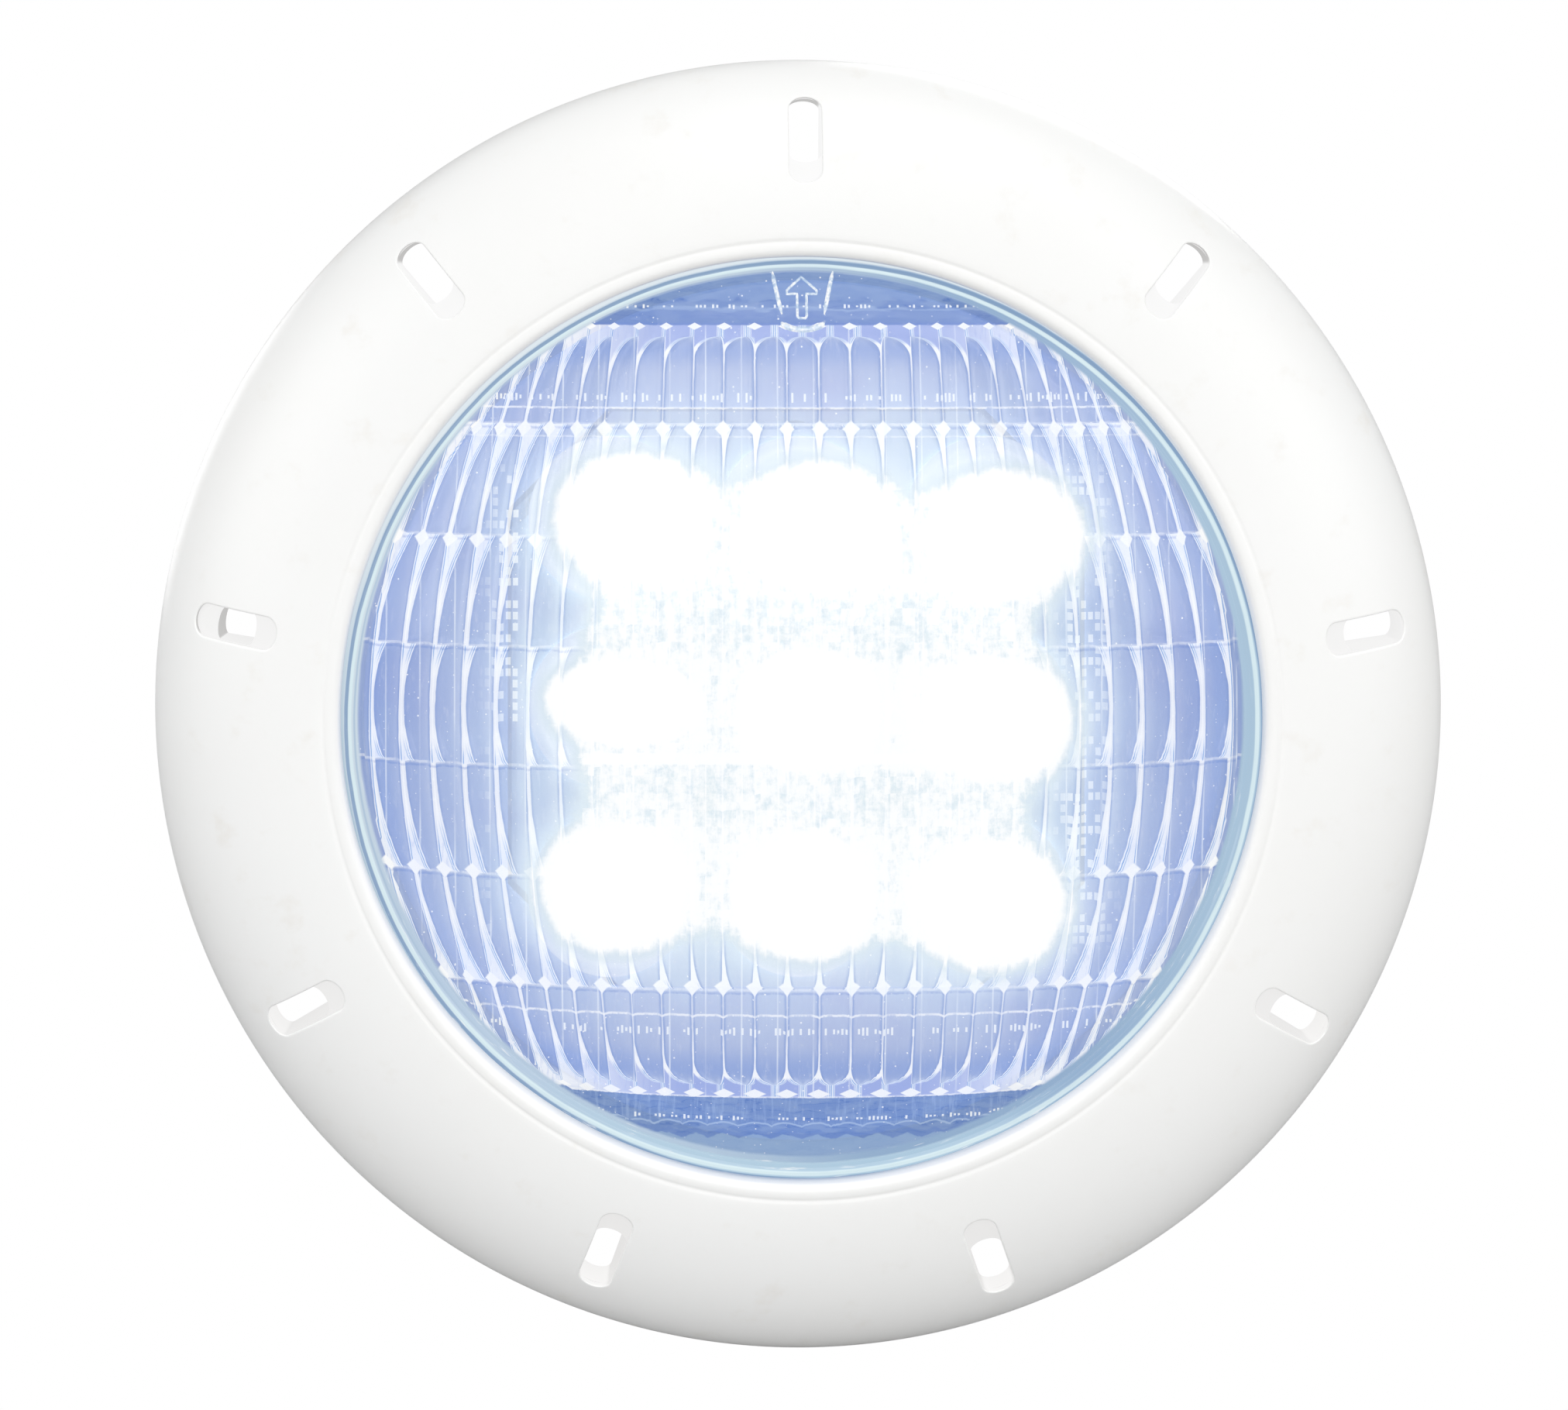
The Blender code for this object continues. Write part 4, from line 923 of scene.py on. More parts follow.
    # shade of the pad: deeper towards its curved edge
    edge = t.step(0.0, 0.11, inside)
    deep = t.mix(0.50, base, srgb(104, 136, 200))
    pad = t.mix(edge, deep, base)
    leftedge = t.step(-0.15, 0.5, t.math("MULTIPLY", t.math("SUBTRACT", u, shift), side))
    pad = t.mix(t.math("MULTIPLY", t.math("SUBTRACT", 1.0, leftedge), t.math("MULTIPLY_ADD", t.step(20.0, 70.0, ax0), 0.55, 0.10)), pad, deep)
    under = t.math("MULTIPLY", end_row, t.math("MULTIPLY", t.step(0.50, 0.76, v), t.math("SUBTRACT", 1.0, t.step(0.76, 0.90, v))))
    pad = t.mix(t.math("MULTIPLY", under, 0.55), pad, srgb(134, 158, 214))
    crown = t.math("MULTIPLY", end_row, t.math("MULTIPLY", t.step(0.80, 0.88, v), t.math("SUBTRACT", 1.0, t.step(0.02, 0.20, inside))))
    pad = t.mix(t.math("MULTIPLY", crown, 0.55), pad, srgb(222, 232, 248))
    pad = t.mix(t.math("MULTIPLY", t.step(0.52, 0.75, grain_v), 0.35), pad, t.mix(0.45, base, (1, 1, 1)))
    pad = t.mix(t.math("MULTIPLY", t.step(0.50, 0.25, grain_v), 0.0), pad, deep)
    # end-row caps: smooth with wavy contour lines
    wave = t.noise(xy_vec(t, t.math("MULTIPLY", x, 0.16), t.math("MULTIPLY", y, 0.5)), 1.0, 3, 0.55)
    wl_ = t.math("ADD", t.math("MULTIPLY", y, 0.55), t.math("MULTIPLY", wave, 3.2))
    line = t.math("ABSOLUTE", t.math("SUBTRACT", t.math("FRACT", wl_), 0.5))
    capc = t.mix(t.step(0.36, 0.50, line), srgb(112, 140, 194), srgb(90, 122, 186))
    capc = t.mix(t.math("MULTIPLY", t.step(0.12, 0.0, line), 0.0), capc, srgb(150, 175, 225))
    capc = t.mix(t.math("MULTIPLY", t.step(0.46, 0.60, wave), 0.80), capc, srgb(132, 156, 200))
    wavex = t.math("ADD", a, t.math("MULTIPLY", wob, 0.6))
    tooth = t.math("ABSOLUTE", t.math("SUBTRACT", t.math("FRACT", wavex), 0.5))
    round_ = t.math("MULTIPLY", tooth, tooth)
    s1 = t.math("ADD", t.math("ADD", y, 86.9), t.math("MULTIPLY_ADD", tooth, 2.4, -0.6))
    s2 = t.math("ADD", t.math("ADD", y, 84.0), t.math("MULTIPLY_ADD", round_, 3.6, -0.4))
    s3 = t.math("ADD", t.math("SUBTRACT", y, 86.4), t.math("MULTIPLY_ADD", round_, -4.0, 0.5))
    s4 = t.math("ADD", t.math("SUBTRACT", y, 84.4), t.math("MULTIPLY_ADD", wave, -2.6, 1.3))
    low_cap, top_cap = t.math("LESS_THAN", y, 0.0), t.math("GREATER_THAN", y, 0.0)
    capc = t.mix(t.math("MULTIPLY", low_cap, t.math("MULTIPLY", t.step(0.15, -0.15, s1), 0.75)), capc, srgb(150, 176, 210))
    capc = t.mix(t.math("MULTIPLY", low_cap, t.math("MULTIPLY", band(t, s1, 0.55, 0.35, 0.5), 0.6)), capc, srgb(100, 130, 194))
    capc = t.mix(t.math("MULTIPLY", low_cap, t.math("MULTIPLY", band(t, s2, 0.0, 0.10, 0.22), 0.6)), capc, srgb(186, 206, 232))
    streaks = t.step(0.48, 0.70, t.noise(xy_vec(t, t.math("MULTIPLY", x, 1.1), t.math("MULTIPLY", y, 0.12)), 1.0, 3, 0.7))
    capc = t.mix(t.math("MULTIPLY", t.math("MULTIPLY", low_cap, streaks), t.math("MULTIPLY", t.step(-0.4, 0.6, s2), 0.55)), capc, srgb(160, 182, 220))
    capc = t.mix(t.math("MULTIPLY", top_cap, t.math("MULTIPLY", t.step(-0.2, 0.4, s3), 0.6)), capc, srgb(134, 160, 204))
    capc = t.mix(t.math("MULTIPLY", top_cap, t.math("MULTIPLY", band(t, s4, 0.0, 0.15, 0.3), 0.5)), capc, srgb(168, 190, 224))
    capc = t.mix(t.math("MULTIPLY", top_cap, t.math("MULTIPLY", t.step(0.2, -0.6, s4), 0.5)), capc, srgb(122, 146, 202))
    pad = t.mix(cap, pad, capc)

    # grooves between the pads: painted light, bright, with bluish contour lines beside the pad edge
    gd = t.math("MULTIPLY", inside, -1.0)
    lav = t.mix(t.noise(pos, 0.12, 3), srgb(230, 236, 252), srgb(252, 253, 255))
    streak = t.noise(xy_vec(t, t.math("MULTIPLY", x, 1.4), t.math("MULTIPLY", y, 0.22)), 1.0, 3, 0.6)
    lav = t.mix(t.math("MULTIPLY", t.step(0.52, 0.70, streak), 0.55), lav, srgb(196, 208, 240))
    roomy = t.step(0.11, 0.20, t.math("SUBTRACT", 0.5, uh))
    lav = t.mix(roomy, (1.0, 1.0, 1.0), lav)
    gcol = t.mix(t.math("MULTIPLY", band(t, gd, 0.055, 0.010, 0.012), roomy), lav, srgb(140, 176, 226))
    gcol = t.mix(t.math("MULTIPLY", t.math("MULTIPLY", band(t, gd, 0.125, 0.010, 0.018), 0.75), roomy), gcol, srgb(160, 190, 232))
    centre_end = t.math("MULTIPLY", end_row, t.math("SUBTRACT", 1.0, t.step(22.0, 60.0, ax0)))
    gcol = t.mix(t.math("MULTIPLY", t.step(0.13, 0.20, gd), centre_end), gcol, srgb(164, 178, 228))
    groove = t.math("SUBTRACT", 1.0, t.step(-0.010, 0.012, inside))
    fade = t.math("SUBTRACT", 1.0, t.math("MULTIPLY", t.math("SUBTRACT", 1.0, t.step(0.25, 0.75, v)), t.math("MULTIPLY_ADD", t.step(25.0, 65.0, ax0), -0.35, 0.50)))
    groove = t.math("MULTIPLY", groove, t.math("MAXIMUM", fade, t.step(0.03, 0.08, gd)))
    col = t.mix(groove, pad, gcol)
    rim_line = t.math("MULTIPLY", band(t, inside, 0.028, 0.006, 0.014), 0.55)
    col = t.mix(t.math("MULTIPLY", rim_line, t.math("SUBTRACT", 1.0, cap)), col, deep)

    # row lines, the finer lines between them and the bright knots on the outer rows
    def add_line(col, yy, half, soft, amount, colour=(255, 255, 255), broken=0.45):
        n = t.noise(xy_vec(t, t.math("MULTIPLY", x, 0.5), yy), 1.0, 3, 0.7)
        yw = t.math("ADD", y, t.math("MULTIPLY", t.math("SUBTRACT", n, 0.5), 0.6))
        m = band(t, yw, yy, half, soft)
        m = t.math("MULTIPLY", m, t.math("MULTIPLY_ADD", t.step(broken - 0.1, broken + 0.12, n), 0.65, 0.35))
        return t.mix(t.math("MULTIPLY", m, amount), col, srgb(*colour))
    for k, yy in enumerate(ROWS):
        if k == 0:
            col = add_line(col, yy + 0.2, 0.14, 0.25, 0.75, (112, 138, 202), 0.2)
        else:
            col = add_line(col, yy, 0.14, 0.26, 0.75 if k == 7 else 0.42)
        col = add_line(col, yy - 0.75, 0.10, 0.25, 0.35, (96, 128, 200)) if 0 < k < 7 else col
    col = add_line(col, 64.2, 0.10, 0.22, 0.8)
    col = add_line(col, -59.7, 0.12, 0.24, 0.8)
    col = add_line(col, 58.4, 0.08, 0.2, 0.4)
    # painted highlights: bright knots where the grooves meet the outer row lines
    gu = t.math("MULTIPLY", t.math("SUBTRACT", 0.5, t.math("ABSOLUTE", u)), PITCH)
    for yy, wid, hgt in ((80.9, 1.75, 0.8), (-76.4, 2.5, 1.15)):
        dy = t.math("ABSOLUTE", t.math("SUBTRACT", y, yy))
        m = t.math("ADD", t.math("DIVIDE", gu, wid), t.math("DIVIDE", dy, hgt))
        col = t.mix(t.math("SUBTRACT", 1.0, t.step(0.85, 1.02, m)), col, (1.0, 1.0, 1.0))
    for yy in (60.0, 37.3, -30.6, -53.6):
        dy = t.math("ABSOLUTE", t.math("SUBTRACT", y, yy))
        m = t.math("ADD", t.math("DIVIDE", gu, t.math("MULTIPLY_ADD", rnd.outputs["Value"], 0.9, 1.5)), t.math("DIVIDE", dy, 1.9))
        col = t.mix(t.math("SUBTRACT", 1.0, t.step(0.8, 1.05, m)), col, (1.0, 1.0, 1.0))
    # second set of fine upright lines
    q = t.math("FRACT", t.math("ADD", t.math("DIVIDE", t.math("ADD", x, 5.16), 7.35), 0.5))
    q = t.math("MULTIPLY", t.math("ABSOLUTE", t.math("SUBTRACT", q, 0.5)), 7.35)
    thin = t.math("MULTIPLY", t.math("SUBTRACT", 1.0, t.step(0.05, 0.26, q)), t.math("MULTIPLY_ADD", t.step(0.35, 0.65, t.noise(xy_vec(t, t.math("MULTIPLY", x, 0.2), t.math("MULTIPLY", y, 0.05)), 1.0, 2)), 0.8, 0.2))
    thin = t.math("MULTIPLY", thin, t.math("SUBTRACT", 1.0, cap))
    col = t.mix(t.math("MULTIPLY", thin, 0.62), col, (0.93, 0.97, 1.0))
    # rows of short dashes: painted glints, small images of the LEDs in the flutes
    for yy, hh in ((66.3, 0.75), (-63.2, 0.65), (-82.6, 0.4), (85.0, 0.3)):
        on = t.math("GREATER_THAN", cells(t, x, y, 0.85, 40.0, yy), 0.55)
        xf = t.math("ABSOLUTE", t.math("SUBTRACT", t.math("FRACT", t.math("DIVIDE", x, 0.85)), 0.5))
        hv = t.math("MULTIPLY_ADD", cells(t, x, y, 0.85, 40.0, yy + 9.0), hh, hh * 0.4)
        dyv = t.math("ABSOLUTE", t.math("SUBTRACT", y, yy))
        m = t.math("MULTIPLY", t.math("LESS_THAN", dyv, hv), t.math("MULTIPLY", on, t.math("LESS_THAN", xf, 0.26)))
        col = t.mix(t.math("MULTIPLY", m, 0.85), col, (0.98, 1.0, 1.0))
    # painted images of the board's parts behind, as block-like flicker beside the LEDs
    zone = t.math("SUBTRACT", 1.0, t.step(0.0, 9.0, t.math("ABSOLUTE", t.math("SUBTRACT", t.math("ABSOLUTE", px), 60.0))))
    zone = t.math("MULTIPLY", zone, t.math("SUBTRACT", 1.0, t.step(46.0, 54.0, t.math("ABSOLUTE", py))))
    c1 = cells(t, x, y, 1.45, 2.3, 3.0)
    xf = t.math("ABSOLUTE", t.math("SUBTRACT", t.math("FRACT", t.math("DIVIDE", x, 1.45)), 0.5))
    yf = t.math("ABSOLUTE", t.math("SUBTRACT", t.math("FRACT", t.math("DIVIDE", y, 2.3)), 0.5))
    boxm = t.math("MULTIPLY", t.math("LESS_THAN", xf, 0.36), t.math("LESS_THAN", yf, 0.34))
    colon = t.math("GREATER_THAN", cells(t, x, y, 5.8, 400.0, 8.0), 0.42)
    m = t.math("MULTIPLY", t.math("MULTIPLY", boxm, t.math("GREATER_THAN", c1, 0.52)), t.math("MULTIPLY", zone, colon))
    col = t.mix(t.math("MULTIPLY", m, 0.8), col, (0.95, 0.985, 1.0))
    # painted sparkles
    sp = specks(t, pos, 0.42, 0.10, 0.5, 3.1)
    sp2 = specks(t, pos, 0.9, 0.13, 0.42, 11.0)
    col = t.mix(t.math("MULTIPLY", t.math("MAXIMUM", sp, t.math("MULTIPLY", sp2, 0.8)), 0.9), col, (1, 1, 1))

    # the blown-out light of each LED, with a ragged streaky edge
    side_x = t.math("MAXIMUM", t.math("SUBTRACT", t.math("ABSOLUTE", qx), SEEN_PITCH), 0.0)
    side_y = t.math("MAXIMUM", t.math("SUBTRACT", t.math("ABSOLUTE", qy), SEEN_PITCH), 0.0)
    inner = t.math("SUBTRACT", 1.0, t.step(4.0, 15.0, t.math("MAXIMUM", side_x, side_y)))
    aqy = t.math("ABSOLUTE", qy)
    midrow = t.math("SUBTRACT", 1.0, t.step(9.0, 15.0, aqy))
    midleft = t.math("MULTIPLY", midrow, t.step(-14.0, -22.0, qx))
    oy2 = t.math("MULTIPLY", oy, t.math("ADD", 1.24, t.math("MULTIPLY", midleft, 0.55)))
    dl = t.math("SQRT", t.math("ADD", t.math("MULTIPLY", ox, ox), t.math("MULTIPLY", oy2, oy2)))
    over = t.math("SUBTRACT", dl, 16.6)
    f_out = t.math("MULTIPLY_ADD", over, -1.0 / 9.0, 0.62)
    f_in = t.math("MAXIMUM", t.math("MULTIPLY_ADD", over, -1.0 / 10.0, 0.66), 0.60)
    rowgap = t.math("SUBTRACT", 1.0, t.step(5.0, 9.5, t.math("ABSOLUTE", t.math("SUBTRACT", aqy, 18.0))))
    colgap = t.math("SUBTRACT", 1.0, t.step(2.5, 5.0, t.math("ABSOLUTE", t.math("SUBTRACT", t.math("ABSOLUTE", qx), 19.5))))
    f_in = t.math("ADD", f_in, t.math("MULTIPLY", t.math("SUBTRACT", 1.0, rowgap), 0.09))
    f_in = t.math("SUBTRACT", f_in, t.math("MULTIPLY", colgap, 0.045))
    f_in = t.math("ADD", f_in, t.math("MULTIPLY", midrow, t.math("MULTIPLY", t.step(8.0, 20.0, t.math("MULTIPLY", qx, 1.0)), 0.10)))
    fl = t.math("ADD", t.math("MULTIPLY", inner, f_in), t.math("MULTIPLY", t.math("SUBTRACT", 1.0, inner), f_out))
    blk = cells(t, x, y, 1.25, 1.7, 21.0)
    blk2 = cells(t, x, y, 2.5, 3.4, 27.0)
    soft_n = t.noise(xy_vec(t, t.math("MULTIPLY", x, 0.85), t.math("MULTIPLY", y, 0.24)), 1.0, 5, 0.78)
    blot = t.noise(xy_vec(t, t.math("MULTIPLY", x, 0.42), t.math("MULTIPLY", y, 0.42)), 1.0, 4, 0.72)
    nz = t.math("ADD", t.math("MULTIPLY", t.math("SUBTRACT", blk, 0.5), 0.22), t.math("MULTIPLY", t.math("SUBTRACT", soft_n, 0.5), 1.15))
    nz = t.math("ADD", nz, t.math("MULTIPLY", t.math("SUBTRACT", blk2, 0.5), 0.26))
    nz = t.math("ADD", nz, t.math("MULTIPLY", t.math("SUBTRACT", blot, 0.5), 1.25))
    level = t.math("ADD", fl, t.math("MULTIPLY", nz, t.math("MULTIPLY_ADD", inner, 0.22, 0.20)))
    level = t.math("ADD", level, t.math("MULTIPLY", groove, 0.10))
    # the row lines and thin uprights stay bright across the block
    bright = t.math("MULTIPLY", inner, t.math("MAXIMUM", t.math("MULTIPLY", thin, 0.16), t.math("MULTIPLY", band(t, py, -7.0 - 4.0, 0.7, 0.8), 0.2)))
    level = t.math("ADD", level, bright)
    halo = t.step(0.02, 0.52, level)
    cyan = t.mix(t.step(0.35, 0.65, blot), srgb(216, 233, 243), srgb(230, 243, 247))
    col = t.mix(t.math("MULTIPLY", halo, t.math("MULTIPLY_ADD", inner, 0.22, 0.66)), col, t.mix(inner, srgb(210, 229, 243), cyan))
    col = t.mix(t.math("MULTIPLY", t.step(-0.6, 0.6, level), 0.45), col, srgb(242, 249, 252))
    col = t.mix(t.step(0.40, 0.69, level), col, (1.05, 1.05, 1.05))
    col = t.mix(t.step(0.86, 1.0, level), col, (1.35, 1.35, 1.35))

    return col, t.math("MULTIPLY_ADD", t.math("MAXIMUM", halo, inner), 0.10, 0.89)


# painted light: the lens surfaces glow with emission, mixed with see-through and a little gloss
def glowing(t, col, opaque, gloss, roughness):
    em = t.node("ShaderNodeEmission")
    t.put(em.inputs["Color"], col)
    em.inputs["Strength"].default_value = 1.0
    tr = t.node("ShaderNodeBsdfTransparent")
    gl = t.node("ShaderNodeBsdfGlossy")
    gl.inputs["Roughness"].default_value = roughness
    m1 = t.node("ShaderNodeMixShader")
    t.put(m1.inputs[0], opaque)
    t.put(m1.inputs[1], tr.outputs[0])
    t.put(m1.inputs[2], em.outputs[0])
    m2 = t.node("ShaderNodeMixShader")
    t.put(m2.inputs[0], gloss)
    t.put(m2.inputs[1], m1.outputs[0])
    t.put(m2.inputs[2], gl.outputs[0])
    return t.done(m2.outputs[0])


def prism_material():
    t = Tree("lens_prisms_painted_glow")
    pos, x, y, z, px, py = led_fields(t, 13.0)
    uv = t.node("ShaderNodeUVMap", uv_map="cell")
    s = t.node("ShaderNodeSeparateXYZ")
    t.put(s.inputs[0], uv.outputs[0])
    col, opaque = prism_colour(t, pos, x, y, px, py, s.outputs[0], s.outputs[1])
    return glowing(t, col, opaque, 0.03, 0.12)


def clear_dome():
    t = Tree("lens_clear_polycarbonate")
    pos, x, y, z = t.position()
    n = t.noise(pos, 0.5, 3, 0.6)
    scr = t.noise(xy_vec(t, t.math("MULTIPLY", x, 0.05), t.math("MULTIPLY", y, 1.6)), 1.0, 4, 0.7)
    nb = t.bump(n, 0.00008, 0.25)
    tr = t.node("ShaderNodeBsdfTransparent")
    t.put(tr.inputs["Color"], t.mix(t.step(0.3, 0.8, n), (0.985, 0.995, 1.0), (0.97, 0.985, 1.0)))
    gl = t.node("ShaderNodeBsdfGlossy")
    t.put(gl.inputs["Roughness"], t.math("MULTIPLY_ADD", scr, 0.08, 0.02))
    t.put(gl.inputs["Normal"], nb)
    fr = t.node("ShaderNodeFresnel")
    fr.inputs["IOR"].default_value = 1.42
    geo = t.node("ShaderNodeNewGeometry")
    fac = t.math("MULTIPLY", fr.outputs[0], t.math("SUBTRACT", 1.0, geo.outputs["Backfacing"]))
    m = t.node("ShaderNodeMixShader")
    t.put(m.inputs[0], t.math("MULTIPLY", fac, 0.8))
    t.put(m.inputs[1], tr.outputs[0])
    t.put(m.inputs[2], gl.outputs[0])
    return t.done(m.outputs[0])


def lens_rim():
    """Bead and flange of the lens, with rings of painted light, given as emission."""
    t = Tree("lens_rim_glow")
    pos, x, y, z, px, py = led_fields(t, 13.0)
    sx, sy = led_fields(t, 19.6)[4:]
    r = t.math("SQRT", t.math("ADD", t.math("MULTIPLY", sx, sx), t.math("MULTIPLY", sy, sy)))
    ang = t.math("ARCTAN2", sy, sx)
    n = t.noise(xy_vec(t, t.math("MULTIPLY", x, 0.06), t.math("MULTIPLY", y, 0.06)), 1.0, 3, 0.6)
    rw = t.math("ADD", r, t.math("MULTIPLY", t.math("SUBTRACT", n, 0.5), 0.5))
    ca, sa = t.math("COSINE", ang), t.math("SINE", ang)

    def toward_deg(deg, lo, hi):
        return t.step(lo, hi, t.math("COSINE", t.math("SUBTRACT", ang, math.radians(deg))))

    def circle(mid, up, side):
        """Distance outside a circle of light that sits a little off the lens axis."""
        rad = t.math("ADD", mid, t.math("ADD", t.math("MULTIPLY", sa, up), t.math("MULTIPLY", ca, side)))
        return t.math("SUBTRACT", rw, rad)

    bead, seam = circle(94.75, -1.2, 0.6), circle(95.6, -1.5, 0.85)
    # painted light inside the bead, as emission: blue above, milky at the upper left, grey-teal below
    wash = t.mix(toward_deg(150, 0.1, 0.95), srgb(148, 176, 208), srgb(208, 222, 232))
    wash = t.mix(t.math("MULTIPLY", toward_deg(5, 0.5, 1.0), 0.7), wash, srgb(180, 206, 224))
    wash = t.mix(t.math("MULTIPLY", toward_deg(240, 0.75, 1.0), 0.8), wash, srgb(196, 214, 232))
    wash = t.mix(t.math("MULTIPLY", t.math("MULTIPLY", toward_deg(270, 0.75, 0.98), t.step(-2.6, -2.1, bead)), 0.8), wash, srgb(182, 210, 228))
    col = wash
    col = t.mix(t.math("MULTIPLY", band(t, bead, 0.0, 0.30, 0.35), t.math("MULTIPLY_ADD", n, 0.5, 0.6)), col, srgb(222, 241, 246))
    col = t.mix(t.math("MULTIPLY", band(t, bead, -1.1, 0.10, 0.22), t.math("MULTIPLY", toward_deg(160, 0.2, 0.9), 0.7)), col, srgb(168, 192, 216))
    col = t.mix(t.math("MULTIPLY", band(t, seam, 0.05, 0.26, 0.24), 0.9), col, srgb(132, 160, 194))
    col = t.mix(t.step(0.45, 0.85, seam), col, t.mix(toward_deg(90, -0.3, 0.6), srgb(176, 198, 214), srgb(226, 236, 242)))
    glints = t.math("MULTIPLY", t.step(0.60, 0.74, t.noise(xy_vec(t, t.math("MULTIPLY", ang, 9.0), t.math("MULTIPLY", r, 1.3)), 1.0, 3, 0.7)),
                    t.step(0.2, -0.6, t.math("SINE", ang)))
    col = t.mix(t.math("MULTIPLY", glints, 0.7), col, (1, 1, 1))
    a, rho = row_and_flute(t, sx, sy)
    inner_col, _ = prism_colour(t, xy_vec(t, sx, sy), sx, sy, px, py, a, rho)
    col = t.mix(t.step(91.9, 92.7, rw), inner_col, col)
    return glowing(t, col, 0.95, 0.04, 0.06)


def bead_path(name, pts, radius, closed=False, seg=10):
    """A thin raised bead that follows a path of (x, y) points across the outside of the dome."""
    fine = []
    n = len(pts)
    for i in range(n if closed else n - 1):
        a, b = pts[i], pts[(i + 1) % n]
        k = max(2, int(math.dist(a, b) / 0.5))
        fine += [(a[0] + (b[0] - a[0]) * q / k, a[1] + (b[1] - a[1]) * q / k) for q in range(k)]
    if not closed:
        fine.append(pts[-1])
    P = [Vector((px, py, float(z_out(math.hypot(px, py))) - 0.12)) for px, py in fine]
    n = len(P)
    v, f, rows = [], [], []
    for i, p in enumerate(P):
        a = P[(i - 1) % n] if closed else P[max(0, i - 1)]
        b = P[(i + 1) % n] if closed else P[min(n - 1, i + 1)]
        tg = (b - a).normalized()
        up = Vector((p.x * 15.0 / LENS_R ** 2 * 2.2, p.y * 15.0 / LENS_R ** 2 * 2.2, 1.0)).normalized()
        sd = tg.cross(up).normalized()
        up = sd.cross(tg).normalized()
        taper = 1.0 if closed else min(1.0, 0.35 + min(i, n - 1 - i) * 0.22)
        row = []
        for k in range(seg):
            w = 2 * math.pi * k / seg
            row.append(len(v))
            v.append(tuple(p + sd * math.cos(w) * radius * taper + up * math.sin(w) * radius * 0.62 * taper))
        rows.append(row)
    for i in range(n if closed else n - 1):
        a, b = rows[i], rows[(i + 1) % n]
        for k in range(seg):
            q = (k + 1) % seg
            f.append((a[k], a[q], b[q], b[k]))
    if not closed:
        for row in (rows[0], rows[-1]):
            f.append(tuple(row))
    return v, f


def join_paths(name, parts):
    V, F = [], []
    for v, f in parts:
        s0 = len(V)
        V += v
        F += [tuple(i + s0 for i in q) for q in f]
    o = mesh_object(name, V, F)
    fix_normals(o)
    o.data.shade_smooth()
    return o


arc = [(-0.2 + 4.5 * math.cos(w), 82.3 + 2.0 * math.sin(w)) for w in np.linspace(math.radians(-165), math.radians(-15), 15)]
tab = join_paths("lens_top_tab", [bead_path("", [(-6.2, 92.2), (-5.9, 90.2), (-5.2, 86.8), (-4.4, 83.4)], 0.42),
                                  bead_path("", [(6.2, 92.2), (5.7, 90.2), (4.9, 86.8), (4.2, 83.4)], 0.42), bead_path("", arc, 0.62)])
up_arrow = join_paths("lens_top_arrow", [
    bead_path("", [(-0.35, 91.0), (-3.3, 88.3), (-3.3, 87.5), (-1.25, 87.6), (-1.25, 83.0), (-0.9, 82.6), (0.3, 82.6), (0.65, 83.0), (0.65, 87.6), (2.7, 87.5), (2.7, 88.3)],
              0.27, closed=True)])
# painted light: the tab and arrow beads glow with emission, pale blue to white, partly see-through
t = Tree("lens_emblem_painted_glow")
pos, x, y, z = t.position()
n = t.noise(pos, 0.9, 3, 0.6)
em = t.node("ShaderNodeEmission")
t.put(em.inputs["Color"], t.mix(t.step(0.35, 0.65, n), srgb(178, 206, 236), srgb(252, 254, 255)))
tr = t.node("ShaderNodeBsdfTransparent")
gl = t.node("ShaderNodeBsdfGlossy")
gl.inputs["Roughness"].default_value = 0.1
m1 = t.node("ShaderNodeMixShader")
t.put(m1.inputs[0], t.math("MULTIPLY_ADD", t.step(0.3, 0.6, n), 0.5, 0.4))
t.put(m1.inputs[1], tr.outputs[0])
t.put(m1.inputs[2], em.outputs[0])
m2 = t.node("ShaderNodeMixShader")
m2.inputs[0].default_value = 0.1
t.put(m2.inputs[1], m1.outputs[0])
t.put(m2.inputs[2], gl.outputs[0])
M_EMBLEM = t.done(m2.outputs[0])
for o in (tab, up_arrow):
    o.data.materials.append(M_EMBLEM)
    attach(o, "lamp")

for m in (clear_dome(), prism_material(), lens_rim()):
    lens.data.materials.append(m)
lens.data.polygons.foreach_set("material_index", np.array(lmat, np.int32))
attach(lens, "lamp")
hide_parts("lens")


# ---------------------------------------------------------------------------
# 3  Shape helpers for the turned and moulded pieces
# ---------------------------------------------------------------------------
EAR_R, SINK_R = 112.5, 84.2
GLAND = (0.0, -50.0)


def bm_object(name, bm, sharp=32):
    for v in bm.verts:
        v.co = Vector(W(*v.co))
    bmesh.ops.recalc_face_normals(bm, faces=bm.faces)
    me = bpy.data.meshes.new(name)
    bm.to_mesh(me)
    bm.free()
    o = link(bpy.data.objects.new(name, me))
    me.shade_smooth()
    me.set_sharp_from_angle(angle=math.radians(sharp))
    return o


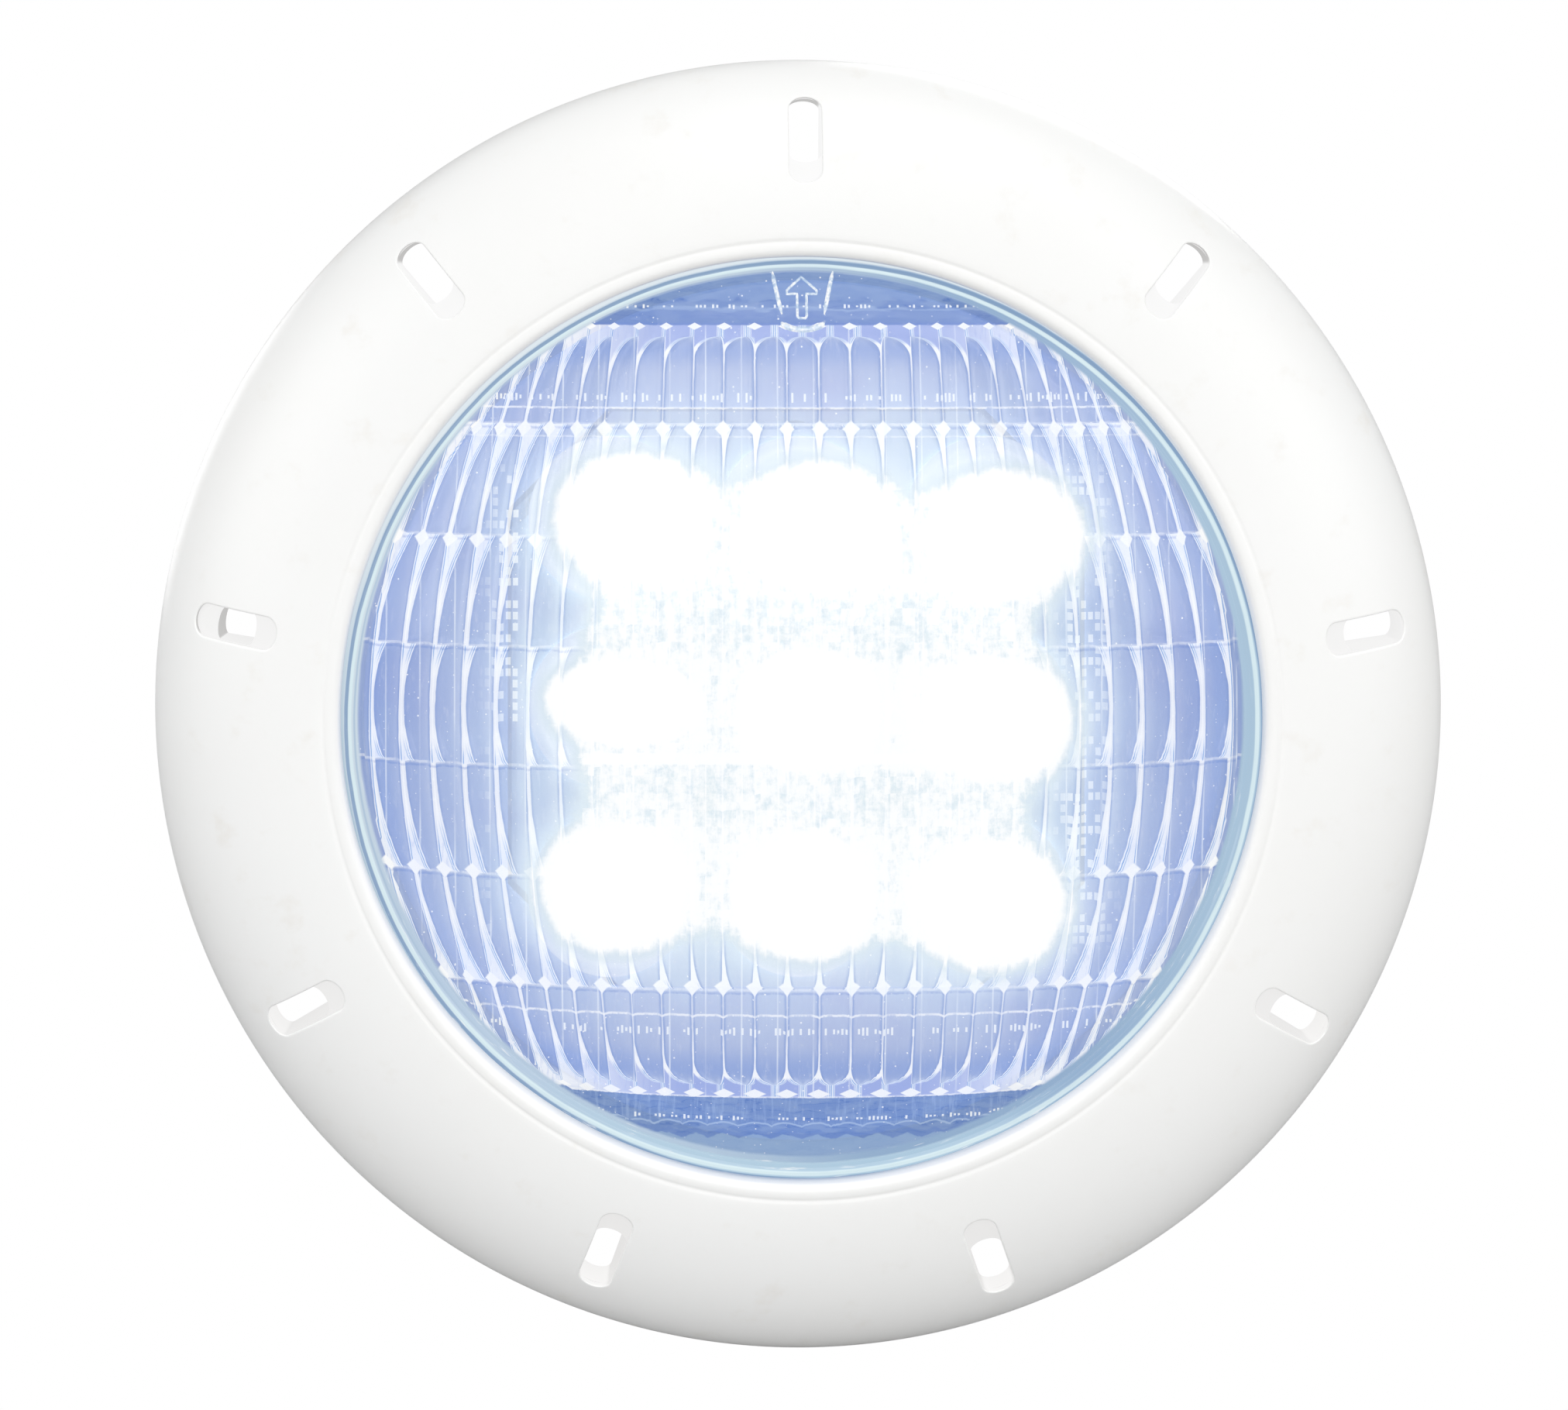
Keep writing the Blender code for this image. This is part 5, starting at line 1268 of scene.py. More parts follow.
def soften(profile, r, seg=2, closed=True):
    """Rounds each corner of a profile by about r mm."""
    out = []
    n = len(profile)
    for i, p in enumerate(profile):
        if not closed and i in (0, n - 1):
            out.append(p)
            continue
        a, b = profile[i - 1], profile[(i + 1) % n]
        da, db = math.dist(p, a), math.dist(p, b)
        va = ((a[0] - p[0]) / da, (a[1] - p[1]) / da)
        vb = ((b[0] - p[0]) / db, (b[1] - p[1]) / db)
        turn = va[0] * vb[0] + va[1] * vb[1]
        if turn < -0.94:
            out.append(p)
            continue
        k = min(r, da * 0.42, db * 0.42)
        s, e = (p[0] + va[0] * k, p[1] + va[1] * k), (p[0] + vb[0] * k, p[1] + vb[1] * k)
        for j in range(seg + 1):
            t = j / seg
            out.append(((1 - t) ** 2 * s[0] + 2 * t * (1 - t) * p[0] + t * t * e[0],
                        (1 - t) ** 2 * s[1] + 2 * t * (1 - t) * p[1] + t * t * e[1]))
    return out


def revolve_bm(profile, steps=180, at=(0.0, 0.0), closed=True, bm=None):
    bm = bm or bmesh.new()
    rows = []
    for r, z in profile:
        if abs(r) < 1e-6:
            rows.append([bm.verts.new((at[0], at[1], z))])
        else:
            rows.append([bm.verts.new((at[0] + r * math.cos(2 * math.pi * k / steps), at[1] + r * math.sin(2 * math.pi * k / steps), z))
                         for k in range(steps)])
    pairs = list(zip(rows, rows[1:]))
    if closed:
        pairs.append((rows[-1], rows[0]))
    for a, b in pairs:
        for k in range(steps):
            j = (k + 1) % steps
            if len(a) == 1 and len(b) == 1:
                break
            if len(a) == 1:
                bm.faces.new((a[0], b[k], b[j]))
            elif len(b) == 1:
                bm.faces.new((a[k], a[j], b[0]))
            else:
                bm.faces.new((a[k], a[j], b[j], b[k]))
    return bm


def cyl_bm(bm, r, z0, z1, x=0.0, y=0.0, seg=32, r2=None):
    return bmesh.ops.create_cone(bm, cap_ends=True, segments=seg, radius1=r, radius2=r if r2 is None else r2,
                                 depth=z1 - z0, matrix=Matrix.Translation((x, y, (z0 + z1) / 2)))["verts"]


def box_bm(bm, x0, x1, y0, y1, z0, z1, turn=0.0):
    m = (Matrix.Rotation(turn, 4, "Z") @ Matrix.Translation(((x0 + x1) / 2, (y0 + y1) / 2, (z0 + z1) / 2))
         @ Matrix.Diagonal((x1 - x0, y1 - y0, z1 - z0, 1.0)))
    return bmesh.ops.create_cube(bm, size=1.0, matrix=m)["verts"]


def slot_bm(bm, r_in, r_out, width, z0, z1, turn, seg=32, flat=1.0):
    h = width / 2
    vs = bmesh.ops.create_cone(bm, cap_ends=True, segments=seg, radius1=h, radius2=h, depth=z1 - z0)["verts"]
    for v in vs:
        v.co.x = v.co.x * flat + ((r_out - h * flat) if v.co.x > 1e-6 else (r_in + h * flat))
        v.co.z += (z0 + z1) / 2
    bmesh.ops.rotate(bm, verts=vs, cent=(0, 0, 0), matrix=Matrix.Rotation(turn, 3, "Z"))
    return vs


def made(build, name="cutter"):
    bm = bmesh.new()
    build(bm)
    return bm_object(name, bm)


def settle(o):
    """Turns an object's modifiers into its mesh."""
    bpy.context.view_layer.update()
    me = bpy.data.meshes.new_from_object(o.evaluated_get(bpy.context.evaluated_depsgraph_get()))
    me.name = o.name
    o.modifiers.clear()
    o.data = me


def combine(o, *steps):
    for how, build in steps:
        other = made(build)
        b = o.modifiers.new(how.lower(), "BOOLEAN")
        b.operation, b.solver, b.object = how, "EXACT", other
        settle(o)
        bpy.data.objects.remove(other)
    return o


def edge_round(o, width, seg=2, angle=38):
    b = o.modifiers.new("round", "BEVEL")
    b.width, b.segments, b.limit_method, b.angle_limit = width * MM, seg, "ANGLE", math.radians(angle)
    b.harden_normals = False
    b.use_clamp_overlap = True
    settle(o)
    o.data.shade_smooth()
    o.data.set_sharp_from_angle(angle=math.radians(32))
    return o


def ear_angle(k):
    return slot_theta(k) + math.radians(20)


def polar(r, a):
    return r * math.cos(a), r * math.sin(a)


def on_lamp(o, slot, mat, *nodes):
    o.data.materials.clear()
    o.data.materials.append(mat)
    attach(o, "lamp")
    if nodes:
        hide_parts(*nodes)
    return o


# ---------------------------------------------------------------------------
# 4  Materials
# ---------------------------------------------------------------------------
def plastic(name, base, worn, rough, tex=1.2, bump=0.00006, spec=0.5, flow=0.15):
    """Moulded plastic: spark-eroded texture, faint flow marks, edges rubbed a little lighter."""
    t = Tree(name)
    pos, x, y, z = t.position()
    grain = t.noise(pos, tex, 4, 0.65)
    cloud = t.noise(pos, 0.03, 3, 0.5)
    marks = t.noise(xy_vec(t, t.math("MULTIPLY", x, 0.02), t.math("MULTIPLY", y, 0.25), t.math("MULTIPLY", z, 0.02)), 1.0, 4, 0.6, 0.4)
    col = t.mix(t.math("MULTIPLY", cloud, 0.5), base, worn)
    col = t.mix(t.math("MULTIPLY", t.step(0.5, 0.75, marks), flow), col, worn)
    geo = t.node("ShaderNodeNewGeometry")
    edge = t.step(0.52, 0.62, geo.outputs["Pointiness"])
    col = t.mix(t.math("MULTIPLY", edge, 0.5), col, worn)
    dust = t.math("MULTIPLY", t.step(0.55, 0.8, t.noise(pos, 0.25, 4, 0.7)), 0.12)
    col = t.mix(dust, col, srgb(178, 172, 162))
    r = t.math("MULTIPLY_ADD", grain, 0.16, rough - 0.08)
    n = t.bump(grain, bump, 0.6)
    p = t.principled(**{"Base Color": col, "Roughness": r, "Normal": n, "Specular IOR Level": spec})
    return t.done(p.outputs[0])


def metal(name, base, dark, rough, brush=(0.04, 2.4, 0.04), bump=0.00002):
    """Brushed or turned metal with fine scratches and a slight stain."""
    t = Tree(name)
    pos, x, y, z = t.position()
    br = t.noise(xy_vec(t, t.math("MULTIPLY", x, brush[0]), t.math("MULTIPLY", y, brush[1]), t.math("MULTIPLY", z, brush[2])), 1.0, 5, 0.7)
    stain = t.noise(pos, 0.18, 4, 0.6)
    col = t.mix(t.math("MULTIPLY", br, 0.5), base, dark)
    col = t.mix(t.math("MULTIPLY", t.step(0.55, 0.8, stain), 0.3), col, dark)
    r = t.math("ADD", t.math("MULTIPLY_ADD", br, 0.14, rough), t.math("MULTIPLY", stain, 0.08))
    n = t.bump(br, bump, 0.5)
    p = t.principled(**{"Base Color": col, "Roughness": r, "Metallic": 1.0, "Normal": n})
    return t.done(p.outputs[0])


def rubber(name, base, light, rough=0.62):
    t = Tree(name)
    pos, x, y, z = t.position()
    n = t.noise(pos, 1.8, 4, 0.7)
    big = t.noise(pos, 0.08, 3, 0.5)
    col = t.mix(t.math("MULTIPLY", big, 0.6), base, light)
    p = t.principled(**{"Base Color": col, "Roughness": t.math("MULTIPLY_ADD", n, 0.15, rough), "Normal": t.bump(n, 0.00005, 0.5),
                        "Sheen Weight": 0.15, "Specular IOR Level": 0.35})
    return t.done(p.outputs[0])


def circuit(name, base, trace, pad_col, pitch=4.0):
    """Printed board: solder mask, traces and rows of plated pads."""
    t = Tree(name)
    pos, x, y, z = t.position()
    fx = t.math("ABSOLUTE", t.math("SUBTRACT", t.math("FRACT", t.math("DIVIDE", x, pitch)), 0.5))
    fy = t.math("ABSOLUTE", t.math("SUBTRACT", t.math("FRACT", t.math("DIVIDE", y, pitch)), 0.5))
    on = t.math("GREATER_THAN", cells(t, x, y, pitch * 3, pitch, 2.0), 0.55)
    on2 = t.math("GREATER_THAN", cells(t, x, y, pitch, pitch * 4, 5.0), 0.62)
    tr1 = t.math("MULTIPLY", t.math("LESS_THAN", fy, 0.07), on)
    tr2 = t.math("MULTIPLY", t.math("LESS_THAN", fx, 0.07), on2)
    rr = t.math("SQRT", t.math("ADD", t.math("MULTIPLY", fx, fx), t.math("MULTIPLY", fy, fy)))
    dots = t.math("MULTIPLY", t.math("LESS_THAN", rr, 0.16), t.math("GREATER_THAN", cells(t, x, y, pitch, pitch, 9.0), 0.8))
    g = t.noise(pos, 0.8, 3, 0.6)
    col = t.mix(t.math("MULTIPLY", g, 0.35), base, trace)
    col = t.mix(t.math("MAXIMUM", tr1, tr2), col, trace)
    col = t.mix(dots, col, pad_col)
    h = t.math("MAXIMUM", t.math("MAXIMUM", tr1, tr2), dots)
    p = t.principled(**{"Base Color": col, "Roughness": t.math("MULTIPLY_ADD", g, 0.2, 0.3), "Metallic": t.math("MULTIPLY", dots, 0.9),
                        "Normal": t.bump(h, 0.00004, 0.7)})
    return t.done(p.outputs[0])


def lit(name, near, far, speck=0.0, rings=False, gain=1.0):
    """Emission for surfaces inside the lamp: the LED chips, which are the lamps, and painted light on the optics, frame
    and bezel, brighter near the LEDs, with bright rings painted on the optics and white specks on the frame and bezel.
    """
    t = Tree(name)
    pos, x, y, z = t.position()
    d, ox, oy = nearest_led(t, x, y)
    db = block_distance(t, x, y)
    n = t.noise(pos, 0.35, 4, 0.6)
    f = t.math("ADD", t.step(14.0, 46.0, t.math("MAXIMUM", d, db)), t.math("MULTIPLY", t.math("SUBTRACT", n, 0.5), 0.25), clamp=True)
    col = t.mix(f, near, far)
    if rings:
        rg = t.math("FRACT", t.math("DIVIDE", d, 2.2))
        col = t.mix(t.math("MULTIPLY", t.step(0.35, 0.5, rg), 0.25), col, srgb(214, 232, 246))
    if speck:
        col = t.mix(t.math("MULTIPLY", specks(t, pos, 0.5, 0.2, 0.4, 5.0), speck), col, (1, 1, 1))
    p = t.principled(**{"Base Color": col, "Roughness": t.math("MULTIPLY_ADD", n, 0.2, 0.3), "Emission Color": col, "Emission Strength": gain,
                        "Normal": t.bump(n, 0.00006, 0.4)})
    return t.done(p.outputs[0])


M_HOUSE = plastic("polymer_grey", srgb(196, 199, 202), srgb(214, 216, 217), 0.48)
M_CLAMP = plastic("polymer_grey_clamp", srgb(186, 190, 194), srgb(206, 208, 210), 0.44, 1.6)
M_SIL = rubber("silicone_white", srgb(212, 214, 214), srgb(228, 229, 228))
M_SS = metal("stainless_brushed", srgb(206, 206, 204), srgb(150, 151, 152), 0.24)
M_SCREW = metal("stainless_screw", srgb(212, 212, 210), srgb(140, 141, 143), 0.2, (1.2, 1.2, 3.0))
M_ALU = metal("aluminium_sink", srgb(190, 192, 196), srgb(140, 143, 148), 0.36, (1.6, 0.03, 0.03))
M_NYL = plastic("nylon_black", srgb(34, 35, 37), srgb(62, 63, 66), 0.42, 1.6, 0.00005, 0.45, 0.1)
M_CABLE = plastic("cable_jacket", srgb(30, 31, 34), srgb(56, 57, 61), 0.5, 0.8, 0.00012, 0.4, 0.3)
M_BROWN = plastic("core_brown", srgb(104, 62, 36), srgb(134, 88, 58), 0.42, 2.0)
M_BLUE = plastic("core_blue", srgb(36, 84, 168), srgb(72, 120, 196), 0.42, 2.0)
M_RED = plastic("lead_red", srgb(176, 30, 28), srgb(206, 66, 58), 0.42, 2.0)
M_BLK = plastic("lead_black", srgb(26, 26, 28), srgb(58, 58, 60), 0.42, 2.0)
M_GREEN = plastic("connector_green", srgb(42, 128, 78), srgb(84, 160, 112), 0.4, 2.0)
M_CAP = plastic("capacitor_sleeve", srgb(24, 34, 74), srgb(60, 74, 120), 0.35, 2.0)
M_PAD = rubber("thermal_pad", srgb(118, 132, 150), srgb(150, 162, 178), 0.75)
M_PCB = circuit("board_green", srgb(26, 92, 58), srgb(52, 128, 84), srgb(206, 196, 150))
M_LED_BOARD = circuit("board_white", srgb(226, 230, 232), srgb(206, 212, 216), srgb(212, 204, 170), 5.0)
M_OPTIC = lit("optic_painted_glow", (1.25, 1.25, 1.25), (1.0, 1.0, 1.0), rings=True, gain=1.0)
M_LED = lit("led_emitter", (1.6, 1.6, 1.6), (1.2, 1.2, 1.2), gain=1.6)
M_FRAME = lit("optic_frame_painted_glow", srgb(214, 234, 248), srgb(172, 192, 234), 0.6, gain=0.85)
M_BEZEL = lit("bezel_painted_glow", srgb(186, 206, 240), srgb(126, 154, 214), 0.5, gain=0.8)

t = Tree("coil_copper")
pos, x, y, z = t.position()
ca = t.math("ARCTAN2", t.math("SUBTRACT", y, 6.0), t.math("ADD", x, 24.0))
turns = t.math("FRACT", t.math("MULTIPLY", ca, 7.0))
hump = t.math("SINE", t.math("MULTIPLY", turns, math.pi))
# painted shade and highlight: each turn is bright copper at its crest and dark brown between turns; the same crest
# drives the bump
col = t.mix(hump, srgb(96, 48, 22), srgb(206, 124, 66))
p = t.principled(**{"Base Color": col, "Roughness": 0.3, "Metallic": 0.85, "Normal": t.bump(hump, 0.0004, 0.9)})
M_COIL = t.done(p.outputs[0])


# ---------------------------------------------------------------------------
# 5  Front: gasket, clamp ring and its screws
# ---------------------------------------------------------------------------
gasket = bm_object("lens_gasket_seal", revolve_bm(soften(
    [(97.5, 19.3), (104.7, 19.3), (104.7, 10.4), (96.0, 10.4), (96.0, 12.0), (103.3, 12.0), (103.3, 18.1), (97.5, 18.1)], 0.4)))
on_lamp(gasket, "silicone_seal", M_SIL, "lens_gasket")


def ears(z0, z1, grow=0.0):
    def build(bm):
        for k in range(SLOTS):
            slot_bm(bm, EAR_R - 6.8 + grow, EAR_R + 5.5 - grow, 11.0 - 2 * grow, z0, z1, ear_angle(k))
    return build


def ear_holes(r, z0, z1):
    def build(bm):
        for k in range(SLOTS):
            cyl_bm(bm, r, z0, z1, *polar(EAR_R, ear_angle(k)), seg=28)
    return build


clamp = bm_object("clamp_ring_moulding", revolve_bm(
    [(97.2, 22.3), (97.5, 22.6), (107.3, 22.6), (107.6, 22.3), (107.6, 15.5), (105.2, 15.5), (105.2, 19.6), (97.2, 19.6)]))
combine(clamp, ("UNION", ears(15.8, 18.3)), ("DIFFERENCE", ear_holes(2.35, 2.0, 24.0)))
edge_round(clamp, 0.25)
on_lamp(clamp, "grey_polymer", M_CLAMP, "lens_clamp_ring")


def screw_piece(name, x, y, head_z, head_r, head_h, shank_r, tip_z, node):
    top = head_z + head_h
    prof = [(0.0, tip_z), (shank_r * 0.55, tip_z + 0.1), (shank_r * 0.9, tip_z + 0.8)]
    zz, pitch = tip_z + 1.2, 1.0
    while zz < head_z - 1.0:
        prof += [(shank_r, zz), (shank_r * 0.84, zz + pitch * 0.5)]
        zz += pitch
    prof += [(shank_r * 0.95, head_z - 0.3), (shank_r, head_z), (head_r - 0.2, head_z), (head_r, head_z + 0.2), (head_r, head_z + head_h * 0.45),
             (head_r * 0.94, head_z + head_h * 0.68), (head_r * 0.78, head_z + head_h * 0.9), (head_r * 0.5, top - 0.02), (0.0, top)]
    o = bm_object(name, revolve_bm(prof, 32, (x, y), closed=False), 50)
    a, b = head_r * 0.52, head_r * 0.13

    def cross(bm):
        box_bm(bm, x - a, x + a, y - b, y + b, top - head_h * 0.55, top + 1)

    def cross2(bm):
        box_bm(bm, x - b, x + b, y - a, y + a, top - head_h * 0.56, top + 1.1)
    combine(o, ("DIFFERENCE", cross), ("DIFFERENCE", cross2))
    o.data.shade_smooth()
    o.data.set_sharp_from_angle(angle=math.radians(40))
    return on_lamp(o, "stainless", M_SCREW, node)


for k in range(SLOTS):
    screw_piece(f"clamp_screw_steel_{k + 1}", *polar(EAR_R, ear_angle(k)), 18.6, 3.7, 2.1, 2.0, 3.4, f"clamp_screw_{k + 1}")

# ---------------------------------------------------------------------------
# 6  Optics, bezel and the light engine
# ---------------------------------------------------------------------------
OPTIC = [(0.0, 13.0), (16.9, 13.0), (17.3, 12.85), (17.4, 12.6), (17.4, 11.5), (17.2, 11.4), (15.6, 11.2), (14.9, 10.0), (13.9, 8.8), (12.6, 7.3), (11.0, 6.0),
         (9.0, 4.9), (7.2, 4.0), (5.6, 3.2), (4.4, 3.2), (4.3, 3.4), (4.05, 5.0), (3.6, 5.9), (2.4, 6.15), (0.0, 6.2)]
face = [(r, 13.0 - 0.16 * (0.5 - 0.5 * math.cos(2 * math.pi * r / 2.2))) for r in np.arange(0.55, 16.4, 0.55)]
OPTIC = [OPTIC[0]] + face + OPTIC[1:]
GRID = [(c * LED_PITCH, r * LED_PITCH) for r in (1, 0, -1) for c in (-1, 0, 1)]
for i, (gx, gy) in enumerate(GRID):
    o = bm_object(f"optic_glass_{i + 1}", revolve_bm(OPTIC, 64, (gx, gy), closed=False), 60)
    on_lamp(o, "optic_clear", M_OPTIC, f"optic_{i + 1}")


def cut_square(half, chamfer, z0, z1):
    def build(bm):
        p = []
        for sx, sy in ((1, -1), (1, 1), (-1, 1), (-1, -1)):
            a, b = (sx * half, sy * (half - chamfer)), (sx * (half - chamfer), sy * half)
            p += [a, b] if sx * sy > 0 else [b, a]
        lo = [bm.verts.new((px, py, z0)) for px, py in p]
        hi = [bm.verts.new((px, py, z1)) for px, py in p]
        bm.faces.new(lo[::-1])
        bm.faces.new(hi)
        for a in range(8):
            b = (a + 1) % 8
            bm.faces.new((lo[a], lo[b], hi[b], hi[a]))
    return build


bez = bm_object("bezel_moulding", revolve_bm(
    [(40.0, 3.4), (60.0, 3.4), (70.0, 3.4), (80.0, 3.4), (86.5, 3.4), (88.4, 3.6), (89.8, 4.3), (90.5, 5.4), (90.7, 7.0), (91.0, 11.4), (91.2, 11.6), (92.3, 11.6), (92.5, 11.4), (92.5, 1.8),
     (92.3, 1.6), (40.0, 1.6)]))
combine(bez, ("DIFFERENCE", cut_square(62.8, 22.0, -3.0, 9.0)))
edge_round(bez, 0.25)
on_lamp(bez, "bezel_blue", M_BEZEL, "inner_bezel")

BOARD_SCREWS = [(20, 20), (-20, 20), (-20, -20), (20, -20)]
for i, (sx, sy) in enumerate(BOARD_SCREWS):
    screw_piece(f"board_screw_steel_{i + 1}", sx, sy, 11.3, 2.9, 1.8, 1.5, -4.6, f"board_screw_{i + 1}")
SINK_ANG = [math.radians(a) for a in (30, 150, 270)]
for i, a in enumerate(SINK_ANG):
    screw_piece(f"sink_screw_steel_{i + 1}", *polar(SINK_R, a), -1.3, 3.4, 1.9, 1.7, -17.0, f"heat_sink_screw_{i + 1}")

# ---------------------------------------------------------------------------
# 7  Housing, hook, gland and cable
# ---------------------------------------------------------------------------
HOUSING = [(0.0, -55.5), (81.0, -55.5), (83.6, -54.2), (86.0, -50.5), (88.0, -5.9), (92.9, -5.9), (92.9, 10.1), (105.0, 10.1), (105.0, 15.0), (105.2, 15.2),
           (107.4, 15.2), (107.6, 15.0), (107.6, 10.2), (107.4, 10.0), (99.2, 10.0), (98.7, 9.7), (98.6, 9.2), (98.6, 1.6), (98.4, 0.4), (93.8, -8.4), (93.6, -9.4), (91.0, -49.0),
           (90.4, -51.6), (89.2, -53.9), (87.0, -56.0), (84.6, -57.5), (82.0, -58.3), (80.0, -58.5), (31.4, -58.5), (30.8, -58.6), (30.2, -58.9), (30.0, -59.3), (30.0, -59.8), (29.8, -60.0), (0.0, -60.0)]
house = bm_object("housing_shell", revolve_bm(HOUSING, closed=False))


def hub_tabs(bm):
    for k in LUG_SLOTS:
        box_bm(bm, 106.0, 111.5, -6.9, 6.9, 10.3, 12.7, slot_theta(k))


def hub_stops(bm):
    for k in LUG_SLOTS:
        box_bm(bm, 106.2, 111.4, -9.8, -6.6, 6.6, 12.6, slot_theta(k))


def outer_ribs(bm):
    for k in range(18):
        vs = box_bm(bm, 89.0, 97.2, -1.3, 1.3, -52.0, -6.4)
        for v in vs:
            if v.co.x > 90 and v.co.z < -30:
                v.co.x -= 2.6
        bmesh.ops.rotate(bm, verts=vs, cent=(0, 0, 0), matrix=Matrix.Rotation(2 * math.pi * (k + 0.5) / 18, 3, "Z"))


def inner_bosses(bm):
    for a in SINK_ANG:
        cyl_bm(bm, 5.0, -30.0, -5.9, *polar(SINK_R, a))


def posts(bm):
    for px, py in ((50, 30), (-50, 30), (50, -30), (-50, -30)):
        cyl_bm(bm, 3.5, -56.0, -36.4, px, py)


def house_cuts(bm):
    for k in range(SLOTS):
        cyl_bm(bm, 2.35, 2.0, 24.0, *polar(EAR_R, ear_angle(k)), seg=28)
    for a in SINK_ANG:
        cyl_bm(bm, 2.0, -20.0, 0.0, *polar(SINK_R, a), seg=24)
    cyl_bm(bm, 8.3, -70.0, -40.0, *GLAND, seg=48)


def rear_relief(bm):
    """A shallow ring moulded on the rear face, clear of the boss and of the gland."""
    revolve_bm([(62.0, -58.9), (64.6, -58.9), (64.6, -57.9), (62.0, -57.9)], 180, bm=bm)


def gland_pad(bm):
    revolve_bm([(8.5, -57.5), (15.4, -57.5), (15.4, -58.7), (15.2, -58.75), (8.5, -58.75)], 64, GLAND, bm=bm)


combine(house, ("UNION", ears(7.0, 14.9)), ("UNION", hub_tabs), ("UNION", hub_stops), ("UNION", outer_ribs), ("UNION", inner_bosses), ("UNION", posts),
        ("UNION", rear_relief), ("DIFFERENCE", house_cuts))
edge_round(house, 0.3)
on_lamp(house, "grey_polymer", M_HOUSE, "housing")


def strip_path(points, thick, half_w, bends=6):
    """A bent metal strip in the y-z plane: centre line points, rounded at the bends."""
    path = soften(points, 3.2, bends, closed=False)
    n = len(path)
    bm = bmesh.new()
    up, lo = [], []
    for i, (py, pz) in enumerate(path):
        a, b = path[max(0, i - 1)], path[min(n - 1, i + 1)]
        d = math.dist(a, b)
        ny, nz = -(b[1] - a[1]) / d, (b[0] - a[0]) / d
        up.append([bm.verts.new((s * half_w, py + ny * thick / 2, pz + nz * thick / 2)) for s in (-1, 1)])
        lo.append([bm.verts.new((s * half_w, py - ny * thick / 2, pz - nz * thick / 2)) for s in (-1, 1)])
    for i in range(n - 1):
        bm.faces.new((up[i][0], up[i][1], up[i + 1][1], up[i + 1][0]))
        bm.faces.new((lo[i + 1][0], lo[i + 1][1], lo[i][1], lo[i][0]))
        for s in (0, 1):
            bm.faces.new((up[i][s], up[i + 1][s], lo[i + 1][s], lo[i][s]))
    for i in (0, n - 1):
        bm.faces.new((up[i][0], up[i][1], lo[i][1], lo[i][0]))
    return bm


hook = bm_object("niche_hook_strip", strip_path([(-104.6, 5.7), (-125.0, 5.7), (-125.0, -13.0), (-131.9, -13.0)], 2.0, 7.8))
combine(hook, ("DIFFERENCE", lambda bm: cyl_bm(bm, 2.35, 0.0, 12.0, 0.0, -EAR_R, seg=28)))
edge_round(hook, 0.25)
on_lamp(hook, "stainless", M_SS, "niche_hook")


def hexa(bm, r, z0, z1, chamfer=0.9):
    """Hexagonal prism on the gland axis; the callers cross it with a turned cap that chamfers its corners."""
    cyl_bm(bm, r, z0, z1, *GLAND, seg=6)


def nut_piece(name, z0, z1, node, dome=False, bore=None):
    o = bm_object(name, (lambda b: (hexa(b, 13.0 if name != "gland_lock_nut_nylon" else 11.5, z0, z1), b)[1])(bmesh.new()))
    return o


body = nut_piece("gland_body_nylon", -67.0, -60.3, "gland_body")
combine(body, ("INTERSECT", lambda bm: revolve_bm([(0.0, -60.3), (12.2, -60.3), (13.2, -61.0), (13.2, -66.3), (12.2, -67.0), (0.0, -67.0)], 72, GLAND, False, bm)),
        ("UNION", lambda bm: cyl_bm(bm, 8.0, -61.0, -47.5, *GLAND, seg=48)),
        ("UNION", lambda bm: cyl_bm(bm, 9.0, -75.0, -66.0, *GLAND, seg=48)),
        ("DIFFERENCE", lambda bm: cyl_bm(bm, 4.6, -80.0, -40.0, *GLAND, seg=48)),
        ("DIFFERENCE", lambda bm: cyl_bm(bm, 6.8, -80.1, -68.0, *GLAND, seg=48)))
edge_round(body, 0.2)
on_lamp(body, "nylon_black", M_NYL, "gland_body")

nut = nut_piece("gland_nut_nylon", -79.0, -67.3, "gland_nut")


def nut_grips(bm):
    for k in range(24):
        a = 2 * math.pi * k / 24
        cyl_bm(bm, 0.45, -78.6, -70.0, GLAND[0] + 13.25 * math.cos(a), GLAND[1] + 13.25 * math.sin(a), seg=10)


combine(nut, ("INTERSECT", lambda bm: revolve_bm([(0.0, -67.3), (12.3, -67.3), (13.2, -68.0), (13.2, -77.6), (12.2, -79.0), (0.0, -79.0)], 72, GLAND, False, bm)),
        ("UNION", lambda bm: revolve_bm([(0.0, -78.0), (10.8, -78.0), (10.5, -79.6), (9.9, -81.4), (9.0, -82.9), (8.0, -83.8), (7.2, -84.0), (0.0, -84.0)], 72, GLAND, False, bm)),
        ("DIFFERENCE", lambda bm: cyl_bm(bm, 9.35, -76.6, -60.0, *GLAND, seg=48)),
        ("DIFFERENCE", lambda bm: cyl_bm(bm, 4.7, -90.0, -60.1, *GLAND, seg=48)))
edge_round(nut, 0.2)
on_lamp(nut, "nylon_black", M_NYL, "gland_nut")

lock = nut_piece("gland_lock_nut_nylon", -55.2, -51.2, "gland_lock_nut")
combine(lock, ("INTERSECT", lambda bm: revolve_bm([(0.0, -51.2), (10.8, -51.2), (11.7, -51.9), (11.7, -54.5), (10.8, -55.2), (0.0, -55.2)], 72, GLAND, False, bm)),
        ("DIFFERENCE", lambda bm: cyl_bm(bm, 8.35, -60.0, -45.0, *GLAND, seg=48)))
edge_round(lock, 0.2)
on_lamp(lock, "nylon_black", M_NYL, "gland_lock_nut")

